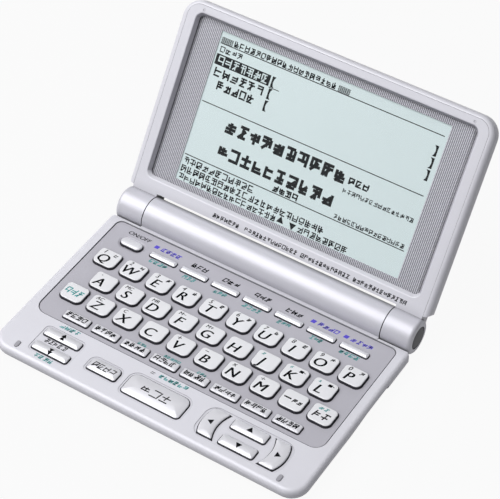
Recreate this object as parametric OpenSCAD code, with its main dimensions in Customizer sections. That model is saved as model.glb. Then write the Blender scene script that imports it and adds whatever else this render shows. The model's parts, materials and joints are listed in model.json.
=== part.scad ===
// Pocket electronic dictionary with a hinged lid, in millimetres, standing open.
// X runs to the right, Y to the back and Z up. The origin is on the table, under
// the middle of the open case.

/* [Case] */
// Width of the case, side to side
case_w = 143; // [138:1:172]
// Depth from the front edge to the hinge axis
case_d = 90.8; // [78:0.1:109]
// Plan radius of the two front corners
corner_r = 8; // [6:0.5:9]
// Plan radius of the corners beside the hinge
rear_corner_r = 2; // [1:0.5:4]
// Rounding along the top edge of the base
top_edge_r = 2; // [1:0.1:2]
// Depth of the parting line below the top face
parting_drop = 2.2; // [2:0.1:2.4]
// Thickness of the top and bottom of the casings
skin = 1.2; // [1:0.1:1.3]
// Thickness of the side walls of the casings
side_wall = 1.4; // [1.2:0.1:1.8]

/* [Hinge and batteries] */
// Angle from the closed lid to the lid as it stands here
open_angle = 125; // [90:1:140]
// Outer diameter of the hinge barrel
barrel_d = 15; // [14.4:0.1:18]
// Height of the hinge axis above the top face of the base
axis_rise = 0.8; // [0.6:0.1:1]
// Distance from each side of the case to the end of the barrel
barrel_inset = 1.3; // [1:0.1:2]
// Length of each barrel section that belongs to the lid
end_barrel_len = 13.1; // [11:0.1:14]
// Rounding at the outer ends of the barrel
barrel_end_r = 1.6; // [0.8:0.1:2]
// Diameter of the cap in each end of the barrel
cap_d = 9.6; // [8:0.1:10.5]
// Thickness of the end caps
cap_t = 1; // [0.8:0.1:1.4]
// Width of the open slot between the barrel and the lid's lower edge
lid_slot = 1.3; // [0.9:0.1:1.6]
// Diameter of the hinge pins
pin_d = 5; // [4:0.1:5.4]
// Diameter of one battery cell
cell_d = 10.5; // [10:0.1:10.5]
// Length of one battery cell
cell_len = 44.5; // [44:0.1:44.5]
// Wall of the battery cover
cover_t = 1.2; // [1:0.1:1.2]

/* [Lid and display] */
// Rounding along the back edge of the lid
lid_back_r = 3.2; // [2:0.1:3.6]
// Rounding along the front edge of the lid
lid_front_r = 2.2; // [1:0.1:2.4]
// How far the lid's face stands proud of the hinge axis
face_rise = 0.3; // [0.1:0.1:0.4]
// Width of the lid's rim at the sides, outside the front frame
rim_side = 2.6; // [2.4:0.1:3]
// Width of the lid's rim at the top, outside the front frame
rim_top = 1.4; // [1.2:0.1:2]
// Distance from each side of the lid to the display opening
window_side = 6.5; // [6:0.1:8]
// Distance from the top of the lid to the display opening
window_top = 4.4; // [4.3:0.1:6]
// Distance from the hinge axis to the display opening
window_foot = 14; // [13:0.1:16]
// Corner radius of the display opening
window_r = 3.4; // [2.5:0.1:5]
// Depth of the display window below the lid's face
window_sink = 1.85; // [1.7:0.05:2]
// How far the sides of the opening slope inwards
window_slope = 1.2; // [0.5:0.1:1.4]
// Thickness of the clear window
window_t = 1; // [0.8:0.1:1.2]
// Width of the patterned border beside the picture
border_side = 12; // [10:0.1:14]
// Width of the patterned border above the picture
border_top = 4.2; // [3:0.1:5]
// Width of the patterned border below the picture
border_foot = 3.6; // [3:0.1:5]
// Thickness of the display glass
glass_t = 1.4; // [1.2:0.1:2]

/* [Keyboard panel] */
// Distance from each side of the case to the panel
panel_side = 4.8; // [4.6:0.1:6]
// Distance from the barrel to the panel
panel_rear_in = 1.6; // [1.5:0.1:3.1]
// Distance from the front edge of the case to the panel
panel_front = 22.8; // [22:0.1:27.4]
// Radius of the panel's front corners
panel_front_r = 5; // [3:0.1:6]
// Radius of the panel's rear corners
panel_rear_r = 3; // [2:0.1:5]
// Thickness of the panel
panel_t = 0.8; // [0.6:0.1:1]
// Depth of the panel below the top face
panel_sink = 0.3; // [0.1:0.1:0.4]

/* [Letter keys] */
// Distance from the panel's side to the first letter key
key_side = 3.3; // [3:0.1:5]
// How far the key field sits right of the middle
key_shift = 0.5; // [0:0.1:0.6]
// Gap between neighbouring letter keys at their feet
letter_gap_x = 2.2; // [2:0.1:3.4]
// Gap between the closest rows of letter keys at their feet
letter_gap_y = 1.8; // [1.6:0.1:3]
// Radius of a letter key's front corners at its foot
letter_front_r = 2.7; // [1.2:0.1:2.8]
// Radius of a letter key's rear corners at its foot
letter_rear_r = 1.9; // [0.8:0.1:2.2]
// How far each wall of a letter key leans in
letter_lean = 0.3; // [0.1:0.05:0.4]
// Height of a letter key above the panel
letter_proud = 1.3; // [1:0.1:1.5]
// Travel of a letter key
letter_travel = 0.8; // [0.5:0.05:0.8]
// How much closer each row of keys is than the one behind it
row_closing = 0.6; // [0:0.1:0.6]

/* [Function keys] */
// Distance from the panel's rear edge to the middle of the upper row
upper_row_in = 9.2; // [9:0.1:11]
// Distance from the panel's front edge to the middle of the lower row
lower_row_in = 4.5; // [4.5:0.1:6]
// Width of the power key
power_w = 10.4; // [8:0.1:10.6]
// Depth of the power key
power_d = 4.7; // [3.4:0.1:4.8]
// Distance from the field's left edge to the middle of the power key
power_in = 8.8; // [8.6:0.1:9.4]
// Width of the sloping ring round the power key
power_ring = 0.9; // [0.5:0.1:1]
// Distance from the field's left edge to the upper function keys
upper_left_in = 18.2; // [18:0.1:22]
// Distance from the field's right edge to the upper function keys
upper_right_in = 5.4; // [5:0.1:8]
// Gap between the upper function keys
upper_gap = 2.2; // [2:0.1:4]
// Depth of the upper function keys
upper_d = 3; // [2.2:0.1:3.2]
// Distance from the field's edges to the lower function keys
lower_in = 8.2; // [7:0.1:10]
// Gap between the lower function keys
lower_gap = 1.8; // [1.6:0.1:3]
// Depth of the lower function keys
lower_d = 4.5; // [3.4:0.1:4.6]
// Height of the function keys above the panel
function_proud = 1; // [0.8:0.1:1.3]
// Travel of the function keys
function_travel = 0.5; // [0.4:0.05:0.6]

/* [Front keys] */
// Width of a paging key, in letter key spacings
page_w_k = 1.33; // [1.1:0.01:1.4]
// Depth of a paging key
page_d = 4.4; // [3.4:0.1:4.6]
// Distance between the middles of the two paging keys
page_step = 8; // [7:0.1:8.4]
// Width of the back key, in letter key spacings
back_w_k = 1.08; // [0.9:0.01:1.15]
// Depth of the back key
back_d = 6.4; // [5:0.1:7]
// Width of the enter key, in letter key spacings
enter_w_k = 2.11; // [1.8:0.01:2.2]
// Depth of the enter key
enter_d = 10.9; // [9:0.1:13]
// Width of the group of arrow keys, in letter key spacings
arrows_w_k = 2.89; // [2.8:0.01:2.92]
// Depth of the group of arrow keys
arrows_d = 13.8; // [12.6:0.1:14]
// Width of the left and right arrow keys
side_arrow_w = 6.9; // [6:0.1:7.2]
// Width of the up and down arrow keys, in letter key spacings
bar_arrow_w_k = 1.22; // [1.1:0.01:1.24]
// Depth of the up and down arrow keys
bar_arrow_d = 5.3; // [4:0.1:5.4]
// How much further back than the other front keys the arrow keys sit
arrows_back = 0.5; // [0:0.1:0.6]
// Radius of the curved sides of the left and right arrow keys
arrow_arc_r = 14; // [12:0.5:20]
// Distance from the case's front edge to the middle of the front keys
front_keys_in = 11.8; // [11.5:0.1:13]
// Height of the front keys above the case
front_proud = 0.9; // [0.6:0.1:1.2]
// How far each wall of the silver keys leans in
silver_lean = 0.2; // [0.1:0.05:0.25]
// Travel of the front keys
front_travel = 0.6; // [0.4:0.05:0.7]
// Place of the paging keys left of the middle, in letter key spacings
page_in_k = 3.64; // [3.5:0.01:3.8]
// Place of the back key left of the middle, in letter key spacings
back_in_k = 1.88; // [1.84:0.01:2]
// Place of the arrow keys right of the middle, in letter key spacings
arrows_in_k = 3.08; // [2.9:0.01:3.2]
// Depth of the shallow recesses round the front keys
recess_t = 0.2; // [0.1:0.05:0.3]

/* [Inside] */
// Thickness of the flange that keeps a key in the case
flange_t = 0.6; // [0.5:0.05:0.7]
// How far that flange reaches past the key
flange_out = 0.5; // [0.4:0.05:0.6]
// Thickness of the rubber mat under the keys
mat_t = 0.35; // [0.3:0.05:0.4]
// Height of the domes on the mat
dome_h = 0.6; // [0.4:0.05:0.6]
// Thickness of the circuit boards
board_t = 0.8; // [0.6:0.1:0.9]
// Diameter of the screw posts
post_d = 5.2; // [4.8:0.1:5.4]
// Diameter of the screw heads
screw_head_d = 3.8; // [3:0.1:4]
// Diameter of the screw shanks
screw_d = 1.6; // [1.4:0.1:1.8]

/* [Feet and pads] */
// Height of the rubber feet below the case
foot_h = 0.6; // [0.4:0.1:1]
// Diameter of the rubber feet
foot_d = 7; // [5:0.1:7.4]
// Length of the two pads that the closed lid rests on
pad_len = 3.2; // [2.4:0.1:4]
// Width of those pads
pad_w = 1.7; // [1.4:0.1:2.4]

/* [Fits] */
// Gap round each key in its opening
key_fit = 0.2; // [0.15:0.05:0.3]
// Gap round a part that is laid or clipped into a casing
seat_fit = 0.1; // [0.05:0.05:0.15]
// Gap between a hinge pin and its bearing, on the radius
pin_fit = 0.05; // [0.03:0.01:0.08]
// Gap between neighbouring sections of the barrel
hinge_gap = 0.4; // [0.3:0.05:0.5]
// Gap between a key's flange and what holds it down
under_gap = 0.1; // [0.05:0.05:0.15]

/* [Hidden] */
$fn = 48;
eps = 0.01;

// Heights in the base, from the table upwards
barrel_r = barrel_d / 2;
underside_z = foot_h;
axis_z = underside_z + barrel_r;
top_z = axis_z - axis_rise;
parting_z = top_z - parting_drop;
floor_z = underside_z + skin;
panel_z = top_z - panel_sink;
panel_low_z = panel_z - panel_t;
panel_ledge_t = 0.7;
panel_ledge_z = panel_low_z - panel_ledge_t;
flange_z = panel_low_z - under_gap - flange_t;
dome_gap = 0.1;
dome_z = flange_z - letter_travel - dome_gap;
mat_z = dome_z - dome_h - mat_t;
board_z = mat_z - board_t;
front_flange_z = top_z - skin - under_gap - flange_t;

// Plan of the base, with Y = 0 on the hinge axis
turning_room = 0.5;
base_rear = barrel_r + turning_room;
parting_land = 0.3;
bottom_edge_r = parting_z - underside_z - parting_land;
end_barrel_out = case_w / 2 - barrel_inset;
end_barrel_in = end_barrel_out - end_barrel_len;
barrel_side = end_barrel_in - hinge_gap;
ledge_rise = 0.2;
run_past = 20;

// Battery bay and hinge chambers inside the barrel
cell_r = cell_d / 2;
cell_gap = 0.6;
bay_r = cell_r + cell_gap;
contact_gap = 1.4;
contact_t = 0.4;
bay_side = cell_len + contact_gap + contact_t + seat_fit;
bay_wall = 1.3;
bearing_t = 1.3;
chamber_in = bay_side + bay_wall;
chamber_out = barrel_side - bearing_t;
chamber_wall = 3.2;
chamber_r = barrel_r - chamber_wall;
collar_gap = 0.3;
collar_r = chamber_r - collar_gap;
collar_t = 1.6;
collar_play = 0.2;
pin_r = pin_d / 2;
pin_bite = 9.4;
flex_room = 1.8;
pin_in = chamber_in + flex_room;
pin_out = end_barrel_in + pin_bite;
flex_r = 1.1;
flex_fit = 0.2;
flex_t = 0.3;
flex_w = 0.7;
flex_rise = 0.4;
flex_x = -(chamber_in + flex_room / 2);
flex_z = parting_z - 0.5;
flex_land = 6;
flex_land_y = -(base_rear + flex_land);

// Battery cover, on the barrel's lower rear quarter
cover_inset = 0.4;
cover_front = barrel_r - cover_inset;
cover_fit = 0.15;

// Plan of the panel and of the key field
panel_rear = barrel_r + panel_rear_in;
panel_w = case_w - 2 * panel_side;
panel_d = case_d - panel_rear - panel_front;
panel_y = -(panel_rear + panel_d / 2);
panel_ledge = 1.5;
panel_ring = 1;
field_w = panel_w - 2 * key_side;
letter_step = (field_w + letter_gap_x) / 10;
letter_w = letter_step - letter_gap_x;
field_left = key_shift - field_w / 2;
field_right = key_shift + field_w / 2;

// Rows of keys, from the upper function keys to the lower ones
upper_row_y = -(panel_rear + upper_row_in);
row_step = (panel_d - upper_row_in - lower_row_in) / 4;
function row_y(i) = upper_row_y - i * row_step - row_closing * i * (4 - i) / 2;
letter_d = row_step - row_closing / 2 - letter_gap_y;
lower_row_y = row_y(4);
letter_edge_r = 0.35;

// Function key sizes
upper_step = (field_right - upper_right_in - field_left - upper_left_in + upper_gap) / 7;
upper_w = upper_step - upper_gap;
lower_step = (field_w - 2 * lower_in + lower_gap) / 8;
lower_w = lower_step - lower_gap;
function_r = 0.9;
function_edge_r = 0.3;
power_edge_r = 0.8;
power_rise = 0.2;
power_ring_t = 0.35;
power_x = field_left + power_in;

// Front key sizes and places
front_y = -(case_d - front_keys_in);
page_w = page_w_k * letter_step;
back_w = back_w_k * letter_step;
enter_w = enter_w_k * letter_step;
arrows_w = arrows_w_k * letter_step;
bar_arrow_w = bar_arrow_w_k * letter_step;
page_x = -page_in_k * letter_step;
back_x = -back_in_k * letter_step;
arrows_x = arrows_in_k * letter_step;
arrows_y = front_y + arrows_back;
arrow_row = (arrows_d - bar_arrow_d) / 2;
outer_arc_x = arrow_arc_r - arrows_w / 2;
inner_arc_x = outer_arc_x + side_arrow_w;
front_sill_z = top_z - recess_t;
front_key_z = top_z + front_proud;
small_r = 1.1;
enter_front_r = 1.8;
enter_rear_r = 3.4;
front_edge_r = 0.35;
recess_out = 1;
page_recess_r = 2;
arrows_recess_r = 5;

// Feet, pads and screws, by their distance from the edges of the case
foot_in = 15;
foot_front_in = 12;
rear_foot_edge = -1;
foot_seat = 0.4;
foot_x = case_w / 2 - foot_in;
foot_front_y = -(case_d - foot_front_in);
rear_foot_x = (bay_side + cover_fit + barrel_side) / 2 - seat_fit;
rear_foot_y = -foot_d / 2 - rear_foot_edge;
pad_in = 10.9;
pad_front_in = 4.3;
pad_seat = 0.4;
pad_rise = 0.35;
pad_x = case_w / 2 - pad_in;
pad_y = -(case_d - pad_front_in);
screw_in = 7.4;
screw_front_in = 10.8;
screw_rear_in = 8.2;
screw_rear_gap = 7.5;
screw_x = case_w / 2 - screw_in;
screw_front_y = -(case_d - screw_front_in);
screw_rear_x = case_w / 2 - screw_rear_in;
screw_rear_y = -(base_rear + screw_rear_gap);
screw_spots = [
    [-screw_x, screw_front_y], [screw_x, screw_front_y],
    [-screw_rear_x, screw_rear_y], [screw_rear_x, screw_rear_y]
];
screw_head_t = 1;
head_sink = 0.8;
head_fit = 0.2;
thread_fit = 0.02;
thread_past = 0.6;
screw_short = 0.8;

// Inner parts keep clear of the screw posts
post_gap = 0.3;
inner_side = screw_rear_x - post_d / 2 - post_gap;
mat_rear = base_rear + 7.5;
mat_front = case_d - 4;
board_rear = base_rear + 3;
rest_r = 1.5;
rest_x = 0.4 * case_w;
rest_rows = [0.28, 0.62, 0.9];

// Recess in the right side of the lower case
side_cut_d = 2.2;
side_cut_rise = 1.5;
side_cut_rear = -24.4;
side_cut_len = 34;

// Lid, laid open flat: Y runs from the hinge axis to the top edge and Z out of its face
lid_t = barrel_r + face_rise;
lid_foot = barrel_r + lid_slot;
frame_foot = barrel_r + 0.2;
frame_foot_r = 0.6;
rim_w = case_w - 2 * rim_side;
window_w = case_w - 2 * window_side;
window_h = case_d - window_top - window_foot;
window_y = window_foot + window_h / 2;
window_low = face_rise - window_sink;
window_hold = 1;
cavity_side = rim_side + 0.8;
cavity_top = window_top - window_hold - seat_fit;
cavity_foot = 11.4;
cavity_foot_r = 2;
cavity_top_r = 4;
rib_t = 1.2;
rib_x = 0.3 * case_w;
border_t = 0.5;
picture_w = window_w - 2 * border_side;
picture_h = window_h - border_top - border_foot;
picture_y = window_foot + border_foot + picture_h / 2;
border_low = window_low - window_t - border_t;
glass_low = border_low - glass_t;
glass_side = 3;
lid_board_low = glass_low - board_t;
cap_r = cap_d / 2;
cap_edge = 0.25;
dimple_r = 0.6;
dimple_t = 0.2;
dimple_side_in = 9.5;
dimple_top_in = 3.2;

// The box of the open case is centred on the origin
lid_top_r = lid_back_r;
lid_reach = -(case_d - lid_top_r) * cos(open_angle)
    + (barrel_r - lid_top_r) * sin(open_angle) + lid_top_r;
hinge_y = (case_d - lid_reach) / 2;

// Letter keys by name, one list for each row
key_rows = [
    ["q", "w", "e", "r", "t", "y", "u", "i", "o", "p"],
    ["a", "s", "d", "f", "g", "h", "j", "k", "l"],
    ["shift", "z", "x", "c", "v", "b", "n", "m", "dash", "delete"]
];
letter_names = [for (row = key_rows) for (name = row) str("key_", name)];
case_names = [
    "upper_case", "lower_case", "keyboard_panel", "key_mat", "main_board",
    "battery_cover", "batteries", "battery_contacts", "rubber_feet",
    "case_screws", "closing_pads", "display_flex"
];
lid_names = [
    "lid_back", "lid_frame", "display_window", "display_border", "display_glass",
    "display_board", "hinge_pins", "hinge_end_caps"
];
other_key_names = [
    "power_key", "upper_function_keys", "lower_function_keys", "page_up_key",
    "page_down_key", "back_key", "enter_key", "left_key", "right_key",
    "up_key", "down_key"
];

silver = [0.80, 0.80, 0.84];
lilac_grey = [0.72, 0.71, 0.76];
key_white = [0.92, 0.92, 0.95];
key_silver = [0.78, 0.78, 0.82];

// A rectangle with one radius on its front corners and another on its rear ones
module outline(w, d, front_r, rear_r) {
    difference() {
        square([w, d], center = true);
        for (side = [-1, 1]) {
            translate([side * w / 2, -d / 2]) square(2 * front_r, center = true);
            translate([side * w / 2, d / 2]) square(2 * rear_r, center = true);
        }
    }
    for (side = [-1, 1]) {
        translate([side * (w / 2 - front_r), -d / 2 + front_r]) circle(r = front_r);
        translate([side * (w / 2 - rear_r), d / 2 - rear_r]) circle(r = rear_r);
    }
}

// Sweeps a profile round that outline. The profile's X runs outwards from the edge.
module swept_edge(w, d, front_r, rear_r) {
    for (flip = [0, 1]) mirror([flip, 0, 0]) {
        translate([w / 2, d / 2 - rear_r, 0]) rotate([90, 0, 0])
            linear_extrude(height = d - front_r - rear_r) children();
        translate([w / 2 - rear_r, d / 2 - rear_r, 0])
            rotate_extrude(angle = 90) translate([rear_r, 0]) children();
        translate([w / 2 - front_r, front_r - d / 2, 0]) rotate([0, 0, -90])
            rotate_extrude(angle = 90) translate([front_r, 0]) children();
    }
    translate([rear_r - w / 2, d / 2, 0]) rotate([90, 0, 90])
        linear_extrude(height = w - 2 * rear_r) children();
    mirror([0, 1, 0]) translate([front_r - w / 2, d / 2, 0]) rotate([90, 0, 90])
        linear_extrude(height = w - 2 * front_r) children();
}

// A plate on that outline, its upper edge rounded
module soft_plate(w, d, front_r, rear_r, h, edge) {
    linear_extrude(height = h - edge) outline(w, d, front_r, rear_r);
    translate([0, 0, h - edge]) {
        linear_extrude(height = edge)
            outline(w - 2 * edge, d - 2 * edge, front_r - edge, rear_r - edge);
        swept_edge(w, d, front_r, rear_r) intersection() {
            translate([-edge, 0]) circle(r = edge);
            translate([-edge, 0]) square(edge);
        }
    }
}

// A cylinder along X between two places
module rod(x0, x1, r) {
    translate([x0, 0, 0]) rotate([0, 90, 0]) cylinder(h = x1 - x0, r = r);
}

// A box between two corners
module block(low, high) {
    translate(low) cube(high - low);
}

// Puts a base part, drawn with Y = 0 on the hinge axis, in its place
module in_base() {
    translate([0, hinge_y, 0]) children();
}

// Puts a lid part, drawn laid open flat, in its place on the open lid
module in_lid() {
    translate([0, hinge_y, axis_z]) rotate([180 - open_angle, 0, 0]) children();
}

// Plan of the base without its barrel
module base_plan() {
    translate([0, -(case_d + base_rear) / 2])
        outline(case_w, case_d - base_rear, corner_r, rear_corner_r);
}

// The base's rounded form runs on past the hinge, where the plan cuts it off
module base_form(h, edge) {
    intersection() {
        translate([0, (run_past - case_d) / 2, 0])
            soft_plate(case_w, case_d + run_past, corner_r, corner_r, h, edge);
        linear_extrude(height = h) base_plan();
    }
}

// The lower case's hollow, drawn upside down, with the same rounding inside its wall
module lower_hollow() {
    h = parting_z + 1 - floor_z;
    hollow_d = case_d - side_wall + run_past;
    intersection() {
        translate([0, run_past - hollow_d / 2, 0])
            soft_plate(case_w - 2 * side_wall, hollow_d, corner_r - side_wall, corner_r - side_wall,
                h, bottom_edge_r - skin);
        translate([-case_w / 2, -case_d, -eps])
            cube([case_w, case_d - base_rear - side_wall, h + 2 * eps]);
    }
}

// Outline of every key opening in the panel, grown by a gap
module panel_key_outlines(grow) {
    for (i = [0 : 2]) for (j = [0 : len(key_rows[i]) - 1])
        translate(letter_spot(i, j)) letter_outline(grow);
    translate([power_x, upper_row_y]) power_outline(grow);
    for (i = [0 : 6]) translate([upper_x(i), upper_row_y]) small_outline(upper_w, upper_d, grow);
    for (i = [0 : 7]) translate([lower_x(i), lower_row_y]) small_outline(lower_w, lower_d, grow);
}

function letter_spot(i, j) =
    [field_left + letter_w / 2 + (j + (i == 1 ? 0.5 : 0)) * letter_step, row_y(i + 1)];
function upper_x(i) = field_left + upper_left_in + upper_w / 2 + i * upper_step;
function lower_x(i) = field_left + lower_in + lower_w / 2 + i * lower_step;

module letter_outline(grow) {
    outline(letter_w + 2 * grow, letter_d + 2 * grow, letter_front_r + grow, letter_rear_r + grow);
}

module power_outline(grow) {
    outline(power_w + 2 * grow, power_d + 2 * grow, power_d / 2 + grow - eps, power_d / 2 + grow - eps);
}

module small_outline(w, d, grow) {
    outline(w + 2 * grow, d + 2 * grow, function_r + grow, function_r + grow);
}

// Outlines of the front keys, grown by a gap
module page_outline(grow) {
    outline(page_w + 2 * grow, page_d + 2 * grow, small_r + grow, small_r + grow);
}

module back_outline(grow) {
    outline(back_w + 2 * grow, back_d + 2 * grow, small_r + grow, 2 * small_r + grow);
}

module enter_outline(grow) {
    outline(enter_w + 2 * grow, enter_d + 2 * grow, enter_front_r + grow, enter_rear_r + grow);
}

module bar_arrow_outline(grow) {
    outline(bar_arrow_w + 2 * grow, bar_arrow_d + 2 * grow, small_r + grow, small_r + grow);
}

// The left arrow key lies between two equal arcs, one key width apart
module side_arrow_outline(grow) {
    difference() {
        intersection() {
            translate([outer_arc_x, 0]) circle(r = arrow_arc_r + grow, $fn = 96);
            square([2 * arrow_arc_r + arrows_w, arrows_d + 2 * grow], center = true);
        }
        translate([inner_arc_x, 0]) circle(r = arrow_arc_r - grow, $fn = 96);
    }
}

module front_key_outlines(grow) {
    for (s = [-1, 1]) translate([page_x, front_y + s * page_step / 2]) page_outline(grow);
    translate([back_x, front_y]) back_outline(grow);
    translate([0, front_y]) enter_outline(grow);
    translate([arrows_x, arrows_y]) for (flip = [0, 1]) {
        mirror([flip, 0]) side_arrow_outline(grow);
        mirror([0, flip]) translate([0, arrow_row]) bar_arrow_outline(grow);
    }
}

// Shallow recesses that gather the front keys in three groups
module recess_outlines() {
    translate([page_x, front_y])
        outline(page_w + 2 * recess_out, page_step + page_d + 2 * recess_out,
            page_recess_r, page_recess_r);
    translate([back_x, front_y]) back_outline(recess_out);
    translate([0, front_y]) enter_outline(recess_out);
    translate([arrows_x, arrows_y])
        outline(arrows_w + 2 * recess_out, arrows_d + 2 * recess_out,
            arrows_recess_r, arrows_recess_r);
}

// Section of the barrel and the flat in front of it, as the lower case has it
module lower_barrel_section(out) {
    circle(r = barrel_r + out);
    translate([-base_rear - eps, -barrel_r - out]) square([base_rear + eps, barrel_r + out]);
}

// Extrudes a section drawn in Y and Z along X
module along_x(x0, x1) {
    translate([x0, 0, axis_z]) rotate([90, 0, 90]) linear_extrude(height = x1 - x0) children();
}

module upper_case() {
    color(silver) in_base() difference() {
        union() {
            difference() {
                translate([0, 0, parting_z]) base_form(top_z - parting_z, top_edge_r);
                translate([0, 0, parting_z - 1]) linear_extrude(height = parting_drop + 1 - skin)
                    translate([0, -(case_d + base_rear) / 2])
                    outline(case_w - 2 * side_wall, case_d - base_rear - 2 * side_wall,
                        corner_r - side_wall, rear_corner_r);
            }
            // Ring that carries the panel
            translate([0, panel_y, panel_ledge_z])
                linear_extrude(height = top_z - skin - panel_ledge_z + eps)
                outline(panel_w + 2 * panel_ring, panel_d + 2 * panel_ring,
                    panel_front_r + panel_ring, panel_rear_r + panel_ring);
            // Barrel, its foot and the low ledge in front of it
            intersection() {
                translate([0, 0, axis_z]) rod(-barrel_side, barrel_side, barrel_r);
                block([-case_w, -2 * barrel_r, parting_z], [case_w, 2 * barrel_r, 3 * barrel_r]);
            }
            block([-barrel_side, -base_rear - side_wall, parting_z], [barrel_side, 0, top_z]);
            block([-barrel_side, -panel_rear, parting_z], [barrel_side, 0, top_z + ledge_rise]);
            for (spot = screw_spots) translate([spot[0], spot[1], parting_z])
                cylinder(h = top_z - skin - parting_z + eps, d = post_d);
        }
        // Pocket and opening for the panel
        translate([0, panel_y, panel_low_z]) linear_extrude(height = 2 * panel_t)
            outline(panel_w + 2 * seat_fit, panel_d + 2 * seat_fit,
                panel_front_r + seat_fit, panel_rear_r + seat_fit);
        translate([0, panel_y, parting_z - eps])
            linear_extrude(height = panel_low_z - parting_z + 2 * eps) difference() {
                outline(panel_w - 2 * panel_ledge, panel_d - 2 * panel_ledge,
                    panel_front_r - panel_ledge, panel_rear_r - panel_ledge);
                for (spot = screw_spots) translate([spot[0], spot[1] - panel_y]) circle(d = post_d);
            }
        translate([0, 0, parting_z - 1]) linear_extrude(height = 3 * parting_drop)
            front_key_outlines(key_fit);
        translate([0, 0, top_z - recess_t]) linear_extrude(height = 1) recess_outlines();
        for (s = [-1, 1]) translate([s * pad_x, pad_y, top_z - pad_seat])
            linear_extrude(height = 1)
                outline(pad_w + 2 * seat_fit, pad_len + 2 * seat_fit,
                    pad_w / 2 + seat_fit - eps, pad_w / 2 + seat_fit - eps);
        for (spot = screw_spots) translate([spot[0], spot[1], parting_z - 1])
            cylinder(h = panel_low_z - parting_z + thread_past, r = screw_d / 2 + thread_fit);
        translate([0, 0, axis_z]) {
            rod(-bay_side, bay_side, bay_r);
            for (flip = [0, 1]) mirror([flip, 0, 0]) {
                rod(chamber_in, chamber_out, chamber_r);
                rod(chamber_out - eps, barrel_side + eps, pin_r + pin_fit);
            }
        }
        flex_slot();
    }
}

// Way for the display's flat cable, from the hinge chamber to the board
module flex_slot() {
    block([flex_x - flex_w / 2 - flex_fit, -base_rear - 2 * side_wall, flex_z - flex_fit],
        [flex_x + flex_w / 2 + flex_fit, 0, flex_z + flex_t + flex_fit + flex_rise]);
}

module lower_case() {
    color(silver) in_base() difference() {
        union() {
            difference() {
                translate([0, 0, parting_z]) mirror([0, 0, 1])
                    base_form(parting_z - underside_z, bottom_edge_r);
                translate([0, 0, parting_z + 1]) mirror([0, 0, 1]) lower_hollow();
            }
            // The right wall is thick behind its recess
            intersection() {
                block([case_w / 2 - side_cut_d - side_wall, side_cut_rear - side_cut_len,
                    underside_z + side_cut_rise],
                    [case_w / 2 - eps, side_cut_rear + side_wall, parting_z]);
                translate([0, 0, parting_z]) mirror([0, 0, 1])
                    base_form(parting_z - underside_z, bottom_edge_r);
            }
            intersection() {
                along_x(-barrel_side, barrel_side) lower_barrel_section(0);
                block([-case_w, -base_rear - side_wall, 0], [case_w, 2 * barrel_r, parting_z]);
            }
            for (spot = screw_spots) translate([spot[0], spot[1], underside_z + parting_land])
                cylinder(h = parting_z - underside_z - parting_land, d = post_d);
            // Rests for the circuit board
            for (x = [-rest_x, 0, rest_x], share = rest_rows)
                translate([x, -share * case_d, floor_z - eps])
                    cylinder(h = board_z - floor_z + eps, r = rest_r);
        }
        // Bay opening under and behind the cells
        block([-bay_side - cover_fit, -cover_front - cover_fit, 0],
            [bay_side + cover_fit, 3 * barrel_r, axis_z]);
        translate([0, 0, axis_z]) for (flip = [0, 1]) mirror([flip, 0, 0])
            rod(chamber_in, chamber_out, chamber_r);
        flex_slot();
        // Recess that runs out towards the front
        translate([case_w / 2, side_cut_rear, 0]) linear_extrude(height = parting_z + 1)
            polygon([[1, 0], [-side_cut_d, 0], [0, -side_cut_len], [1, -side_cut_len]]);
        for (spot = screw_spots) translate([spot[0], spot[1], 0]) {
            cylinder(h = underside_z + head_sink + screw_head_t, d = screw_head_d + 2 * head_fit);
            cylinder(h = parting_z + 1, r = screw_d / 2 + head_fit);
        }
        for (spot = foot_spots()) translate([spot[0], spot[1], 0])
            cylinder(h = underside_z + foot_seat, d = foot_d + 2 * seat_fit);
    }
}

function foot_spots() = [
    [-foot_x, foot_front_y], [foot_x, foot_front_y],
    [-rear_foot_x, rear_foot_y], [rear_foot_x, rear_foot_y]
];

module keyboard_panel() {
    ring_r = power_d / 2 + key_fit - eps;
    color(lilac_grey) in_base() difference() {
        translate([0, 0, panel_low_z]) linear_extrude(height = panel_t) difference() {
            translate([0, panel_y]) outline(panel_w, panel_d, panel_front_r, panel_rear_r);
            panel_key_outlines(key_fit);
        }
        // Ring that slopes down to the power key
        translate([power_x, upper_row_y, panel_z])
            swept_edge(power_w + 2 * key_fit, power_d + 2 * key_fit, ring_r, ring_r)
            polygon([[-eps, -power_ring_t], [power_ring, 0], [power_ring, eps], [-eps, eps]]);
    }
}

// One low dome of the rubber mat, as tall as the key above it leaves room for
module dome(r, flange_low, travel) {
    low = mat_z + mat_t - eps;
    translate([0, 0, low])
        cylinder(h = flange_low - travel - dome_gap - low, r1 = r, r2 = 0.7 * r);
}

module panel_dome(r, travel) {
    dome(r, flange_z, travel);
}

module front_dome(r) {
    dome(r, front_flange_z, front_travel);
}

module key_mat() {
    wide = 1.6;
    slim = 1.1;
    color("gainsboro") in_base() {
        block([-inner_side, -mat_front, mat_z], [inner_side, -mat_rear, mat_z + mat_t]);
        for (i = [0 : 2]) for (j = [0 : len(key_rows[i]) - 1])
            translate(letter_spot(i, j)) panel_dome(wide, letter_travel);
        translate([power_x, upper_row_y]) panel_dome(wide, function_travel);
        for (i = [0 : 6]) translate([upper_x(i), upper_row_y]) panel_dome(slim, function_travel);
        for (i = [0 : 7]) translate([lower_x(i), lower_row_y]) panel_dome(wide, function_travel);
        for (s = [-1, 1]) {
            translate([page_x, front_y + s * page_step / 2]) front_dome(wide);
            translate([arrows_x, arrows_y + s * arrow_row]) front_dome(wide);
            translate([arrows_x + s * (arrows_w - side_arrow_w) / 2, arrows_y]) front_dome(wide);
        }
        for (x = [back_x, 0]) translate([x, front_y]) front_dome(wide);
    }
}

module main_board() {
    color("seagreen") in_base()
        block([-inner_side, -mat_front, board_z], [inner_side, -board_rear, board_z + board_t]);
}

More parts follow.
